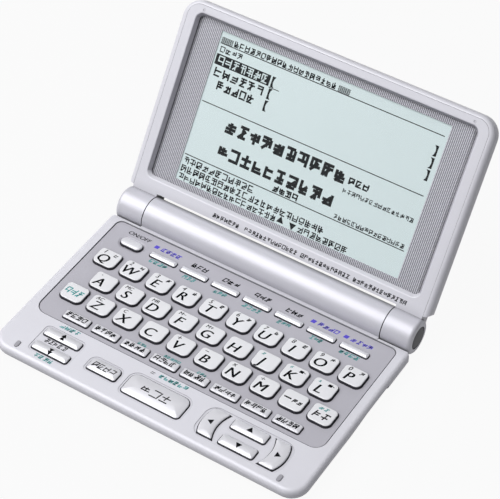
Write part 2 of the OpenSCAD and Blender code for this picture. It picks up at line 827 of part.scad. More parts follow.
module battery_cover() {
    color(silver) in_base() along_x(-bay_side, bay_side) difference() {
        intersection() {
            lower_barrel_section(0);
            translate([-cover_front, -2 * barrel_r])
                square([3 * barrel_r, 2 * barrel_r + parting_z - axis_z - cover_fit]);
        }
        circle(r = barrel_r - cover_t);
        translate([-2 * barrel_r, -barrel_r + cover_t]) square([2 * barrel_r, 2 * barrel_r]);
    }
}

// Two cells end to end, each with its contact button to the right
module batteries() {
    nub_r = 1.9;
    nub_len = 1;
    color("steelblue") in_base() translate([0, 0, axis_z]) for (x = [-cell_len, 0]) {
        rod(x, x + cell_len - nub_len, cell_r);
        rod(x, x + cell_len, nub_r);
    }
}

// A plate and a cone spring at each end of the bay
module battery_contacts() {
    spring_tip_r = 1.6;
    spring_foot_r = 3.4;
    color("goldenrod") in_base() translate([0, 0, axis_z]) for (flip = [0, 1]) mirror([flip, 0, 0]) {
        rod(bay_side - seat_fit - contact_t, bay_side - seat_fit, bay_r - 1);
        translate([cell_len, 0, 0]) rotate([0, 90, 0])
            cylinder(h = contact_gap + eps, r1 = spring_tip_r, r2 = spring_foot_r);
    }
}

module rubber_feet() {
    color("dimgray") in_base() for (spot = foot_spots()) translate([spot[0], spot[1], 0])
        cylinder(h = underside_z + foot_seat, d = foot_d);
}

module case_screws() {
    color("silver") in_base() for (spot = screw_spots)
        translate([spot[0], spot[1], underside_z + head_sink]) {
            cylinder(h = screw_head_t, d = screw_head_d);
            cylinder(h = panel_low_z - underside_z - head_sink - screw_short, d = screw_d);
        }
}

module closing_pads() {
    color("gray") in_base() for (s = [-1, 1]) translate([s * pad_x, pad_y, top_z - pad_seat])
        linear_extrude(height = pad_seat + pad_rise)
            outline(pad_w, pad_len, pad_w / 2 - eps, pad_w / 2 - eps);
}

// Flat cable to the display: rolled up where it passes through the left hinge pin
module display_flex() {
    color("chocolate") in_base() {
        translate([0, 0, axis_z]) rod(-(pin_out - 1), flex_x + flex_w / 2, flex_r);
        block([flex_x - flex_w / 2, -flex_r, flex_z], [flex_x + flex_w / 2, flex_r, axis_z]);
        block([flex_x - flex_w / 2, flex_land_y, flex_z], [flex_x + flex_w / 2, flex_r, flex_z + flex_t]);
        block([flex_x - flex_w / 2, flex_land_y, board_z + board_t],
            [flex_x + flex_w / 2, flex_land_y + flex_t, flex_z + flex_t]);
    }
}

// A key with its retaining flange. From its sill up, its walls lean in to a rounded edge.
module key_form(w, d, front_r, rear_r, low, sill, top, edge, lean) {
    drawn_in = lean + edge;
    translate([0, 0, low]) linear_extrude(height = flange_t)
        outline(w + 2 * flange_out, d + 2 * flange_out, front_r + flange_out, rear_r + flange_out);
    translate([0, 0, low]) linear_extrude(height = sill - low) outline(w, d, front_r, rear_r);
    translate([0, 0, low]) linear_extrude(height = top - low)
        outline(w - 2 * drawn_in, d - 2 * drawn_in, front_r - drawn_in, rear_r - drawn_in);
    swept_edge(w, d, front_r, rear_r) {
        polygon([[-drawn_in, sill], [0, sill], [-lean, top - edge], [-drawn_in, top - edge]]);
        intersection() {
            translate([-drawn_in, top - edge]) circle(r = edge);
            translate([-drawn_in, top - edge]) square(edge);
        }
    }
}

module letter_key(i, j) {
    color(key_white) in_base() translate(letter_spot(i, j))
        key_form(letter_w, letter_d, letter_front_r, letter_rear_r, flange_z, panel_z,
            panel_z + letter_proud, letter_edge_r, letter_lean);
}

module power_key() {
    color(key_silver) in_base() translate([power_x, upper_row_y])
        key_form(power_w, power_d, power_d / 2 - eps, power_d / 2 - eps, flange_z, panel_z,
            panel_z + function_proud + power_rise, power_edge_r, silver_lean);
}

// A row of small keys on one runner, rounded along their edges and at their ends
module key_row(spots, y, w, d, edge) {
    top = panel_z + function_proud;
    color(key_silver) in_base() {
        intersection() {
            translate([0, 0, flange_z]) linear_extrude(height = top - flange_z)
                for (x = spots) translate([x, y]) small_outline(w, d, 0);
            translate([spots[0] - w, y, 0]) rotate([90, 0, 90])
                linear_extrude(height = w * 2 * len(spots)) key_section(d, panel_z, top, edge);
            translate([0, y + d, 0]) rotate([90, 0, 0]) linear_extrude(height = 2 * d)
                for (x = spots) translate([x, 0]) key_section(w, panel_z, top, edge);
        }
        block([spots[0] - w / 2 - flange_out, y - d / 2 - flange_out, flange_z],
            [spots[len(spots) - 1] + w / 2 + flange_out, y + d / 2 + flange_out, flange_z + flange_t]);
    }
}

// Section of a silver key: upright walls, leaning in above the sill, and a rounded top
module key_section(w, sill, top, edge) {
    half = w / 2;
    leant = half - silver_lean;
    polygon([[-half, 0], [half, 0], [half, sill], [leant, top - edge], [-leant, top - edge],
        [-half, sill]]);
    translate([edge - leant, sill]) square([2 * (leant - edge), top - sill]);
    for (s = [-1, 1]) translate([s * (leant - edge), top - edge]) circle(r = edge);
}

module upper_function_keys() {
    key_row([for (i = [0 : 6]) upper_x(i)], upper_row_y, upper_w, upper_d, function_edge_r);
}

module lower_function_keys() {
    key_row([for (i = [0 : 7]) lower_x(i)], lower_row_y, lower_w, lower_d, function_edge_r);
}

// A key in the upper case itself
module front_key(w, d, front_r, rear_r) {
    key_form(w, d, front_r, rear_r, front_flange_z, front_sill_z, front_key_z, front_edge_r, silver_lean);
}

module page_key(s) {
    color(key_silver) in_base() translate([page_x, front_y + s * page_step / 2])
        front_key(page_w, page_d, small_r, small_r);
}

module back_key() {
    color(key_silver) in_base() translate([back_x, front_y])
        front_key(back_w, back_d, small_r, 2 * small_r);
}

module enter_key() {
    color(key_silver) in_base() translate([0, front_y])
        front_key(enter_w, enter_d, enter_front_r, enter_rear_r);
}

module bar_arrow_key(s) {
    color(key_silver) in_base() translate([arrows_x, arrows_y + s * arrow_row])
        front_key(bar_arrow_w, bar_arrow_d, small_r, small_r);
}

// The left arrow key: a turned disc and a straight bar in common, less a turned hollow
module side_arrow_key(side) {
    rim = arrow_arc_r + silver_lean + front_edge_r;
    color(key_silver) in_base() translate([arrows_x, arrows_y, 0]) mirror([side > 0 ? 1 : 0, 0, 0]) {
        translate([0, 0, front_flange_z]) linear_extrude(height = flange_t) side_arrow_outline(flange_out);
        difference() {
            intersection() {
                translate([outer_arc_x, 0, 0]) rotate_extrude($fn = 96) intersection() {
                    key_section(2 * arrow_arc_r, front_sill_z, front_key_z, front_edge_r);
                    translate([0, front_flange_z]) square(arrow_arc_r);
                }
                translate([-arrows_w, 0, 0]) rotate([90, 0, 90]) linear_extrude(height = 2 * arrows_w)
                    key_section(arrows_d, front_sill_z, front_key_z, front_edge_r);
            }
            translate([inner_arc_x, 0, 0]) rotate_extrude($fn = 96) difference() {
                polygon([[0, 0], [arrow_arc_r, 0], [arrow_arc_r, front_sill_z],
                    [arrow_arc_r + silver_lean, front_key_z - front_edge_r],
                    [rim, front_key_z - front_edge_r], [rim, front_key_z + 1], [0, front_key_z + 1]]);
                translate([rim, front_key_z - front_edge_r]) circle(r = front_edge_r);
            }
        }
    }
}

// Plan of the lid without its barrel sections
module lid_plan(grow) {
    translate([0, (case_d + lid_foot) / 2])
        outline(case_w + 2 * grow, case_d - lid_foot + 2 * grow, rear_corner_r, corner_r);
}

module lid_form() {
    split = (face_rise - barrel_r) / 2;
    intersection() {
        translate([0, (case_d - run_past) / 2, split]) {
            soft_plate(case_w, case_d + run_past, corner_r, corner_r, face_rise - split, lid_front_r);
            mirror([0, 0, 1])
                soft_plate(case_w, case_d + run_past, corner_r, corner_r, barrel_r + split, lid_back_r);
        }
        translate([0, 0, -barrel_r - 1]) linear_extrude(height = lid_t + 2) lid_plan(0);
    }
}

// Plan of the front frame: a plate with a foot at each barrel section
module frame_plan(grow) {
    top = case_d - rim_top + grow;
    translate([0, (top + lid_foot) / 2])
        outline(rim_w + 2 * grow, top - lid_foot, frame_foot_r, corner_r - rim_side + grow);
    foot_w = rim_w / 2 + grow - end_barrel_in;
    for (x = [end_barrel_in, -end_barrel_in - foot_w]) translate([x, frame_foot - grow])
        square([foot_w, lid_foot - frame_foot + 1 + grow]);
}

// One barrel section of the lid, rounded at its outer end
module end_barrel() {
    translate([end_barrel_in, 0, 0]) rotate([0, 90, 0]) rotate_extrude() {
        square([barrel_r, end_barrel_len - barrel_end_r]);
        square([barrel_r - barrel_end_r, end_barrel_len]);
        translate([barrel_r - barrel_end_r, end_barrel_len - barrel_end_r]) circle(r = barrel_end_r);
    }
}

module lid_back() {
    color(silver) in_lid() difference() {
        union() {
            lid_form();
            for (flip = [0, 1]) mirror([flip, 0, 0]) {
                end_barrel();
                block([end_barrel_in, 0, -barrel_r],
                    [end_barrel_out - barrel_end_r, lid_foot + 1, face_rise]);
            }
        }
        // Seat of the front frame
        translate([0, 0, window_low]) linear_extrude(height = 2 * window_sink) frame_plan(seat_fit);
        // Room for the display
        translate([0, (case_d - cavity_top + cavity_foot) / 2, skin - barrel_r])
            linear_extrude(height = lid_t)
                outline(case_w - 2 * cavity_side, case_d - cavity_top - cavity_foot,
                    cavity_foot_r, cavity_top_r);
        for (flip = [0, 1]) mirror([flip, 0, 0]) {
            rod(end_barrel_in - 1, pin_out + seat_fit, pin_r + thread_fit);
            rod(end_barrel_out - cap_t, end_barrel_out + 1, cap_r + seat_fit);
        }
    }
    // Ribs that carry the display board
    color(silver) in_lid() for (x = [-rib_x, 0, rib_x])
        block([x - rib_t / 2, cavity_foot - eps, skin - barrel_r - eps],
            [x + rib_t / 2, case_d - cavity_top + eps, lid_board_low]);
}

module lid_frame() {
    inner_w = window_w - 2 * window_slope;
    inner_h = window_h - 2 * window_slope;
    inner_r = window_r - window_slope;
    color(silver) in_lid() difference() {
        translate([0, 0, window_low]) linear_extrude(height = window_sink) frame_plan(0);
        translate([0, window_y, 0]) {
            translate([0, 0, window_low - 1]) linear_extrude(height = window_sink + 2)
                outline(inner_w, inner_h, inner_r, inner_r);
            // Sloping sides of the opening
            swept_edge(inner_w, inner_h, inner_r, inner_r)
                polygon([[-eps, window_low], [0, window_low], [window_slope, face_rise],
                    [window_slope, face_rise + 1], [-eps, face_rise + 1]]);
        }
        // A small dimple at each upper corner
        for (s = [-1, 1]) translate([s * (case_w / 2 - dimple_side_in), case_d - dimple_top_in,
            face_rise - dimple_t]) cylinder(h = 1, r = dimple_r);
    }
}

module display_window() {
    color("lightcyan") in_lid() translate([0, window_y, window_low - window_t])
        linear_extrude(height = window_t)
            outline(window_w + 2 * window_hold, window_h + 2 * window_hold, window_r, window_r);
}

module display_border() {
    color("gray") in_lid() translate([0, 0, border_low]) linear_extrude(height = border_t)
        difference() {
            translate([0, window_y])
                outline(window_w + 2 * window_hold, window_h + 2 * window_hold, window_r, window_r);
            translate([0, picture_y]) square([picture_w, picture_h], center = true);
        }
}

module display_glass() {
    color("honeydew") in_lid() translate([0, picture_y, (border_low + glass_low) / 2])
        cube([picture_w + 2 * glass_side, picture_h + 2 * glass_side, glass_t], center = true);
}

module display_board() {
    color("seagreen") in_lid() translate([0, picture_y, glass_low - board_t / 2])
        cube([picture_w + 4 * glass_side, picture_h + glass_side, board_t], center = true);
}

// Pins with a friction collar. The left one is hollow for the display's flat cable.
module hinge_pins() {
    color("lightgray") in_lid() difference() {
        for (flip = [0, 1]) mirror([flip, 0, 0]) {
            rod(pin_in, pin_out, pin_r);
            rod(chamber_out - collar_t - collar_play, chamber_out - collar_play, collar_r);
        }
        rod(-case_w, 0, flex_r + flex_fit);
    }
}

module hinge_end_caps() {
    color("dimgray") in_lid() for (flip = [0, 1]) mirror([flip, 0, 0])
        translate([end_barrel_out - cap_t, 0, 0]) rotate([0, 90, 0]) rotate_extrude() {
            square([cap_r, cap_t - cap_edge]);
            square([cap_r - cap_edge, cap_t]);
        }
}

upper_case();
lower_case();
keyboard_panel();
key_mat();
main_board();
battery_cover();
batteries();
battery_contacts();
rubber_feet();
case_screws();
closing_pads();
display_flex();
lid_back();
lid_frame();
display_window();
display_border();
display_glass();
display_board();
hinge_pins();
hinge_end_caps();
for (i = [0 : 2]) for (j = [0 : len(key_rows[i]) - 1])
    letter_key(i, j);
power_key();
upper_function_keys();
lower_function_keys();
page_key(1);  // page_up_key
page_key(-1);  // page_down_key
back_key();
enter_key();
side_arrow_key(-1);  // left_key
side_arrow_key(1);  // right_key
bar_arrow_key(1);  // up_key
bar_arrow_key(-1);  // down_key
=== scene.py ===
import json
import random
from math import cos, radians, sin, sqrt

import bmesh
import bpy
from mathutils import Matrix, Vector

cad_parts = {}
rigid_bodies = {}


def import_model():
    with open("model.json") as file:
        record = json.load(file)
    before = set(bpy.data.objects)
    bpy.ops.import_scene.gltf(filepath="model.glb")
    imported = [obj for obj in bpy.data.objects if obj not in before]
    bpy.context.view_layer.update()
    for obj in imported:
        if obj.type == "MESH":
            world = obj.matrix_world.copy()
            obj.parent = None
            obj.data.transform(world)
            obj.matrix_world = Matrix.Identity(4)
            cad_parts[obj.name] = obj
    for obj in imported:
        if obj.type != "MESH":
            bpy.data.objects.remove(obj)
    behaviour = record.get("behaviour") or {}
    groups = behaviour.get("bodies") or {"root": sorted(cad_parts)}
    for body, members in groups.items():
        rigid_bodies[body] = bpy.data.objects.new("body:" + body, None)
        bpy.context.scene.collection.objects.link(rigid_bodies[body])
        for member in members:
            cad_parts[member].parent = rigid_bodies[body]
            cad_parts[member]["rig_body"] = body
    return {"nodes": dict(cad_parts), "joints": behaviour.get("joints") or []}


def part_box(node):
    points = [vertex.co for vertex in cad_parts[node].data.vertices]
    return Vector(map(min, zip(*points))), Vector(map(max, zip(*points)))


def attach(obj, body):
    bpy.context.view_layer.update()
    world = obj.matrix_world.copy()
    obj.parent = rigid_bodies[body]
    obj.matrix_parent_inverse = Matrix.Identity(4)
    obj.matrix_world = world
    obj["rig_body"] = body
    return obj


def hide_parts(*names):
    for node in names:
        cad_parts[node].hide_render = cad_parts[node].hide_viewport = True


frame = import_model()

bpy.context.view_layer.update()

# Lower case
# A tray moulded in silver painted plastic, with the lower half of the hinge barrel on its rear edge and
# a recess in its right wall. It carries the board, the feet and the screws that close the case.
mm = 0.001


def set_values(node, **values):
    """Sets values of a shader node, each on the input of that name, or else as the node's own setting."""
    for name, value in values.items():
        socket = node.inputs.get(name.replace("_", " "))
        if socket is not None:
            socket.default_value = value
        else:
            setattr(node, name, value)


def add_node(tree, kind, place, **values):
    """Adds a shader node with some of its values set."""
    made = tree.nodes.new(kind)
    made.location = place
    set_values(made, **values)
    return made


def maths(tree, operation, place, *terms):
    """Adds a maths node on some terms, each a number or another node's output. Gives its result."""
    made = add_node(tree, "ShaderNodeMath", place, operation=operation)
    for k, term in enumerate(terms):
        if isinstance(term, (int, float)):
            made.inputs[k].default_value = term
        else:
            tree.links.new(term, made.inputs[k])
    return made.outputs[0]


def new_group(name, inputs, outputs):
    """An empty node group with its named sockets, each given as name, kind and first value."""
    group = bpy.data.node_groups.new(name, "ShaderNodeTree")
    for socket_name, kind, value in inputs:
        socket = group.interface.new_socket(socket_name, in_out="INPUT", socket_type=kind)
        socket.default_value = value
    for socket_name, kind in outputs:
        group.interface.new_socket(socket_name, in_out="OUTPUT", socket_type=kind)
    start = add_node(group, "NodeGroupInput", (-900, 0))
    end = add_node(group, "NodeGroupOutput", (700, 0))
    return group, start, end


def build_moulded_finish():
    """Paint or resin on a moulding: fine flakes, faint clouds of tone, and a trace of handling."""
    group, start, end = new_group(
        "moulded finish",
        [("Colour", "NodeSocketColor", (0.6, 0.6, 0.6, 1)),
         ("Flake Colour", "NodeSocketColor", (0.8, 0.8, 0.8, 1)),
         ("Flake Amount", "NodeSocketFloat", 0.3),
         ("Flake Scale", "NodeSocketFloat", 5000.0),
         ("Cloud Scale", "NodeSocketFloat", 60.0),
         ("Cloud Depth", "NodeSocketFloat", 0.04),
         ("Roughness", "NodeSocketFloat", 0.35),
         ("Grain Height", "NodeSocketFloat", 0.000004)],
        [("Colour", "NodeSocketColor"), ("Roughness", "NodeSocketFloat"), ("Normal", "NodeSocketVector")])
    link = group.links.new
    spots = add_node(group, "ShaderNodeTexCoord", (-900, -300))
    flake = add_node(group, "ShaderNodeTexNoise", (-600, 200), Detail=2.0, Roughness=0.7)
    cloud = add_node(group, "ShaderNodeTexNoise", (-600, -100), Detail=4.0, Roughness=0.55)
    grain = add_node(group, "ShaderNodeTexNoise", (-600, -400), Scale=9000.0, Detail=1.0)
    for texture in (flake, cloud, grain):
        link(spots.outputs["Object"], texture.inputs["Vector"])
    link(start.outputs["Flake Scale"], flake.inputs["Scale"])
    link(start.outputs["Cloud Scale"], cloud.inputs["Scale"])
    shine = add_node(group, "ShaderNodeMapRange", (-350, 200), From_Min=0.56, From_Max=0.74)
    link(flake.outputs["Fac"], shine.inputs["Value"])
    amount = maths(group, "MULTIPLY", (-150, 250), shine.outputs["Result"], start.outputs["Flake Amount"])
    flaked = add_node(group, "ShaderNodeMix", (50, 200), data_type="RGBA")
    link(amount, flaked.inputs["Factor"])
    link(start.outputs["Colour"], flaked.inputs["A"])
    link(start.outputs["Flake Colour"], flaked.inputs["B"])
    swing = maths(group, "SUBTRACT", (-350, -50), cloud.outputs["Fac"], 0.5)
    depth = maths(group, "MULTIPLY", (-150, -50), swing, start.outputs["Cloud Depth"])
    toned = add_node(group, "ShaderNodeVectorMath", (300, 100), operation="SCALE")
    link(flaked.outputs["Result"], toned.inputs["Vector"])
    link(maths(group, "ADD", (50, -50), depth, 1.0), toned.inputs["Scale"])
    link(toned.outputs["Vector"], end.inputs["Colour"])
    worn = maths(group, "MULTIPLY_ADD", (300, -100), depth, 2.0, start.outputs["Roughness"])
    link(worn, end.inputs["Roughness"])
    bump = add_node(group, "ShaderNodeBump", (300, -300), Strength=1.0)
    link(grain.outputs["Fac"], bump.inputs["Height"])
    link(start.outputs["Grain Height"], bump.inputs["Distance"])
    link(bump.outputs["Normal"], end.inputs["Normal"])
    return group


def build_painted_recess_shade():
    """Painted shade: darkens a colour in recesses, creases and under things, the more of the space within
    reach of a point is hidden.
    """
    group, start, end = new_group(
        "painted recess shade",
        [("Colour", "NodeSocketColor", (0.6, 0.6, 0.6, 1)),
         ("Depth", "NodeSocketFloat", 0.4),
         ("Reach", "NodeSocketFloat", 0.005)],
        [("Colour", "NodeSocketColor")])
    link = group.links.new
    recess = add_node(group, "ShaderNodeAmbientOcclusion", (-600, 0), samples=8)
    link(start.outputs["Reach"], recess.inputs["Distance"])
    hidden = maths(group, "SUBTRACT", (-350, 0), 1.0, recess.outputs["AO"])
    loss = maths(group, "MULTIPLY", (-150, 0), hidden, start.outputs["Depth"])
    shaded = add_node(group, "ShaderNodeVectorMath", (300, 0), operation="SCALE")
    link(start.outputs["Colour"], shaded.inputs["Vector"])
    link(maths(group, "SUBTRACT", (50, 0), 1.0, loss), shaded.inputs["Scale"])
    link(shaded.outputs["Vector"], end.inputs["Colour"])
    return group


moulded_finish = build_moulded_finish()
painted_recess_shade = build_painted_recess_shade()


def new_material(name):
    """An empty material, with its node tree and its shader."""
    material = bpy.data.materials.new(name)
    material.use_nodes = True
    return material, material.node_tree, material.node_tree.nodes["Principled BSDF"]


def moulded_material(name, colour, flake_colour, metallic=0.0, coat=0.0, specular=0.5, recess=0.0,
                     **finish_values):
    """A material on the moulded finish, with the values that don't change set on the shader itself. Its
    recess value darkens its colour in recesses as painted shade.
    """
    material, tree, shader = new_material(name)
    set_values(shader, Metallic=metallic, Coat_Weight=coat, Coat_Roughness=0.15,
               Specular_IOR_Level=specular)
    finish = add_node(tree, "ShaderNodeGroup", (-300, 200), node_tree=moulded_finish)
    set_values(finish, Colour=(*colour, 1), Flake_Colour=(*flake_colour, 1),
               **{key.title(): value for key, value in finish_values.items()})
    tone = finish.outputs["Colour"]
    if recess:
        shade = add_node(tree, "ShaderNodeGroup", (-100, 300), node_tree=painted_recess_shade)
        set_values(shade, Depth=recess)
        tree.links.new(tone, shade.inputs["Colour"])
        tone = shade.outputs["Colour"]
    tree.links.new(tone, shader.inputs["Base Color"])
    tree.links.new(finish.outputs["Roughness"], shader.inputs["Roughness"])
    tree.links.new(finish.outputs["Normal"], shader.inputs["Normal"])
    return material


# Its recess value darkens the paint in recesses, creases and under things as painted shade.
silver_paint = moulded_material(
    "silver paint", (0.71, 0.705, 0.76), (0.88, 0.88, 0.92), metallic=0.1, specular=0.2,
    recess=0.65, flake_amount=0.3, roughness=0.42)


def paint_node(node, material):
    """Gives a CAD piece that keeps its own shape its material."""
    mesh = frame["nodes"][node].data
    mesh.materials.clear()
    mesh.materials.append(material)


paint_node("lower_case", silver_paint)

# Upper case
# The top half of the case, moulded with the upper half of the barrel. The keyboard panel is let into it,
# and the front keys stand in openings of their own with a shallow recess round each group.
lid_hinge = next(joint for joint in frame["joints"] if joint["name"] == "lid_hinge")
hinge = Vector(lid_hinge["pos_m"])
barrel_r = 7.5 * mm
# A darker, more metallic copy of the silver paint for the barrel. Its darker colour is painted shade, and
# its recess value adds painted shade in recesses.
barrel_shaded_paint = moulded_material(
    "barrel shaded paint", (0.63, 0.625, 0.68), (0.78, 0.78, 0.82), metallic=0.22, specular=0.15,
    recess=0.65, flake_amount=0.3, roughness=0.42)
# Nearly black: painted shade for the deep gaps between the barrel sections.
hinge_gap_painted_shade = moulded_material("hinge_gap_painted_shade_name", (0.05, 0.05, 0.055), (0.09, 0.09, 0.10), specular=0.2,
                              flake_amount=0.2, roughness=0.55)


def paint_barrel(node):
    """Gives a barrel section its more metallic paint, darker as painted shade, and paints its end faces in
    the hinge gap nearly black as painted shade.
    """
    skin_r = 1.005 * barrel_r
    outer_end = 65 * mm
    mesh = frame["nodes"][node].data
    mesh.materials.append(hinge_gap_painted_shade)
    mesh.materials.append(barrel_shaded_paint)
    for face in mesh.polygons:
        if (face.center.yz - hinge.yz).length <= skin_r:
            # End faces in the gap take the painted shade, and the rest of the barrel takes the barrel's
            # paint.
            in_gap = abs(face.normal.x) > 0.9 and abs(face.center.x) < outer_end
            face.material_index = 1 if in_gap else 2


paint_node("upper_case", silver_paint)
paint_barrel("upper_case")

# Battery cover
# The rear lower quarter of the barrel, a thin curved moulding with a flat tongue under the case. It slides
# to the rear to uncover the cells.
weld = 0.001 * mm


def settle(piece, body, slot, *nodes):
    """Makes a finished piece ride on its body, and hides the CAD nodes that it takes the place of."""
    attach(piece, body)
    if nodes:
        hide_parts(*nodes)


def put_in_scene(name, data):
    """Makes an object of a mesh, lamp or camera and puts it in the scene."""
    made = bpy.data.objects.new(name, data)
    bpy.context.scene.collection.objects.link(made)
    return made


def as_piece(name, bm, materials, crease=40):
    """Turns a mesh in the making into an object. Corners over the crease, in degrees, stay crisp.

    Normals that a copy brought along from the CAD piece are dropped, because its shape has changed.
    """
    bmesh.ops.recalc_face_normals(bm, faces=bm.faces)
    mesh = bpy.data.meshes.new(name)
    bm.to_mesh(mesh)
    bm.free()
    for material in materials:
        mesh.materials.append(material)
    if "custom_normal" in mesh.attributes:
        mesh.attributes.remove(mesh.attributes["custom_normal"])
    mesh.shade_smooth()
    mesh.set_sharp_from_angle(angle=radians(crease))
    piece = put_in_scene(name, mesh)
    weights = piece.modifiers.new("even shading", "WEIGHTED_NORMAL")
    weights.keep_sharp = True
    return piece


def moulding(node, edge, material, body, slot):
    """A copy of a CAD piece whose sharp edges are broken by a small moulded radius."""
    flat = radians(0.5)
    sharp = radians(38)
    bm = bmesh.new()
    bm.from_mesh(frame["nodes"][node].data)
    bmesh.ops.remove_doubles(bm, verts=bm.verts, dist=weld)
    bmesh.ops.dissolve_limit(bm, angle_limit=flat, verts=bm.verts, edges=bm.edges)
    piece = as_piece(node + "_moulding", bm, [material])
    soften = piece.modifiers.new("moulded edges", "BEVEL")
    soften.width = edge
    soften.segments = 2
    soften.limit_method = "ANGLE"
    soften.angle_limit = sharp
    soften.use_clamp_overlap = False
    soften.miter_outer = "MITER_ARC"
    piece.modifiers.move(1, 0)  # the radius comes before the shading
    settle(piece, body, slot, node)


cover_edge = 0.12 * mm
moulding("battery_cover", cover_edge, silver_paint, "battery_cover", "silver_case")

# Cells, contacts, board, cable and key mat
# What the case holds: two cells end to end, their sprung contacts, the circuit board, the flat cable to the
# display, and the rubber mat with the domes under the keys. The casings hide all of it.
cell_jacket = moulded_material("cell jacket", (0.10, 0.16, 0.30), (0.3, 0.35, 0.5), metallic=0.6,
                               flake_amount=0.1, roughness=0.28)
contact_metal = moulded_material("contact metal", (0.62, 0.58, 0.46), (0.8, 0.75, 0.6), metallic=1.0,
                                 flake_amount=0.3, roughness=0.3)
board_laminate = moulded_material("board laminate", (0.03, 0.16, 0.08), (0.07, 0.26, 0.14),
                                  flake_amount=0.4, flake_scale=1400.0, roughness=0.4)
cable_film = moulded_material("cable film", (0.42, 0.20, 0.05), (0.5, 0.26, 0.08), flake_amount=0.2,
                              roughness=0.35)
mat_rubber = moulded_material("mat rubber", (0.60, 0.60, 0.61), (0.66, 0.66, 0.67), flake_amount=0.15,
                              roughness=0.7)
for node, material in (
        ("batteries", cell_jacket), ("battery_contacts", contact_metal), ("main_board", board_laminate),
        ("display_flex", cable_film), ("key_mat", mat_rubber)):
    paint_node(node, material)

# Case screws, feet and closing pads
# Four small steel screws sunk in the underside, four rubber feet pressed into shallow seats, and two soft
# pads at the front corners that the closed lid meets.
screw_steel = moulded_material("screw steel", (0.45, 0.45, 0.46), (0.7, 0.7, 0.7), metallic=1.0,
                               flake_amount=0.2, roughness=0.32)
foot_rubber = moulded_material("foot rubber", (0.035, 0.035, 0.04), (0.07, 0.07, 0.08), flake_amount=0.3,
                               roughness=0.75, grain_height=0.00001)
pad_rubber = moulded_material("pad rubber", (0.34, 0.335, 0.37), (0.40, 0.39, 0.43), flake_amount=0.2,
                              roughness=0.6)
rubber_edge = 0.15 * mm
paint_node("case_screws", screw_steel)
moulding("rubber_feet", rubber_edge, foot_rubber, "base", "foot_rubber")
moulding("closing_pads", rubber_edge, pad_rubber, "base", "pad_rubber")

# Keyboard panel
# A thin plate in a darker lilac grey, laid into the upper case with a fine gap round it, and pierced for
# every key above the front row of keys. Its labels are printed on it.
# Its recess value darkens the panel's colour between and round the keys as painted shade.
panel_paint = moulded_material(
    "panel paint", (0.48, 0.47, 0.52), (0.65, 0.64, 0.69), metallic=0.1, specular=0.2, recess=0.4,
    flake_amount=0.3, roughness=0.42)
panel_low, panel_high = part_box("keyboard_panel")
panel_top = panel_high.z
panel_gap = 0.32 * mm
panel_front_r = 5.0 * mm
panel_rear_r = 3.0 * mm
rim_tolerance = 0.05 * mm
panel_mesh = frame["nodes"]["keyboard_panel"].data.copy()
# Only the points of the outer rim, with its rounded corners, are drawn in by the gap.
for vert in panel_mesh.vertices:
    r = panel_front_r if vert.co.y < panel_low.y + panel_front_r else panel_rear_r
    inner = Vector((min(max(vert.co.x, panel_low.x + r), panel_high.x - r),
                    min(max(vert.co.y, panel_low.y + r), panel_high.y - r), vert.co.z))
    out = vert.co - inner
    if out.length > r - rim_tolerance:
        vert.co -= out.normalized() * panel_gap
panel_mesh.materials.clear()
panel_mesh.materials.append(panel_paint)
settle(put_in_scene("keyboard_panel_trimmed", panel_mesh), "base", "lilac_panel", "keyboard_panel")


def ink_material(name, colour):
    """Printing ink: flat, a little uneven and slightly rough."""
    return moulded_material(name, colour, [min(1, 1.25 * part + 0.01) for part in colour],
                            specular=0.06, flake_amount=0.2, cloud_depth=0.1, roughness=0.55)


black_ink = ink_material("black ink", (0.006, 0.006, 0.008))
teal_ink = ink_material("teal ink", (0.09, 0.33, 0.33))
violet_ink = ink_material("violet ink", (0.11, 0.085, 0.55))
INKS = [black_ink, teal_ink, violet_ink]
BLACK, TEAL, VIOLET = 0, 1, 2
ink_over = 0.01 * mm
ink_under = 0.05 * mm
cap_share = 0.682
letter_curve = bpy.data.curves.new("lettering", "FONT")
letter_curve.align_x = "CENTER"
letter_curve.extrude = (ink_over + ink_under) / 2
letter_maker = bpy.data.objects.new("lettering", letter_curve)


def print_text(bm, text, height, place, ink, slant=0.0, stretch=1.0, bold=0.0):
    """Prints a letter, number or sign centred on a place. A bold one is printed twice, a little apart."""
    letter_curve.body = text
    letter_curve.size = height / cap_share
    letter_curve.shear = slant
    bpy.context.scene.collection.objects.link(letter_maker)
    bpy.context.view_layer.update()
    solid = bpy.data.meshes.new_from_object(
        letter_maker.evaluated_get(bpy.context.evaluated_depsgraph_get()))
    bpy.context.scene.collection.objects.unlink(letter_maker)
    middle = Vector((0, height / 2, (ink_under - ink_over) / 2))
    first = len(bm.faces)
    for shift in ([-bold / 2, bold / 2] if bold else [0]):
        made = solid.copy()
        made.transform(Matrix.Translation(place + Vector((shift, 0, 0)))
                       @ Matrix.Diagonal((stretch, 1, 1, 1)) @ Matrix.Translation(-middle))
        bm.from_mesh(made)
        bpy.data.meshes.remove(made)
    bpy.data.meshes.remove(solid)
    bm.faces.ensure_lookup_table()
    for face in bm.faces[first:]:
        face.material_index = ink


def print_patch(bm, corners, z, ink):
    """Prints a flat patch between some corners."""
    under = [bm.verts.new((x, y, z - ink_under)) for x, y in corners]
    over = [bm.verts.new((x, y, z + ink_over)) for x, y in corners]
    made = [bm.faces.new(under[::-1]), bm.faces.new(over)]
    for k in range(len(corners)):
        after = (k + 1) % len(corners)
        made.append(bm.faces.new((under[k], under[after], over[after], over[k])))
    for face in made:
        face.material_index = ink


def print_bar(bm, low, high, z, ink, slant=0.0):
    """Prints a plain bar between its lower left and its upper right corner, leaning over by its slant."""
    lean = slant * (high[1] - low[1])
    print_patch(bm, [(low[0], low[1]), (high[0], low[1]), (high[0] + lean, high[1]),
                     (low[0] + lean, high[1])], z, ink)


def print_stroke(bm, start, end, thick, z, ink):
    """Prints a straight stroke of an even thickness."""
    start, end = Vector(start), Vector(end)
    along = (end - start).normalized() * thick / 2
    across = Vector((-along.y, along.x))
    print_patch(bm, [start - along - across, end + along - across, end + along + across,
                     start - along + across], z, ink)


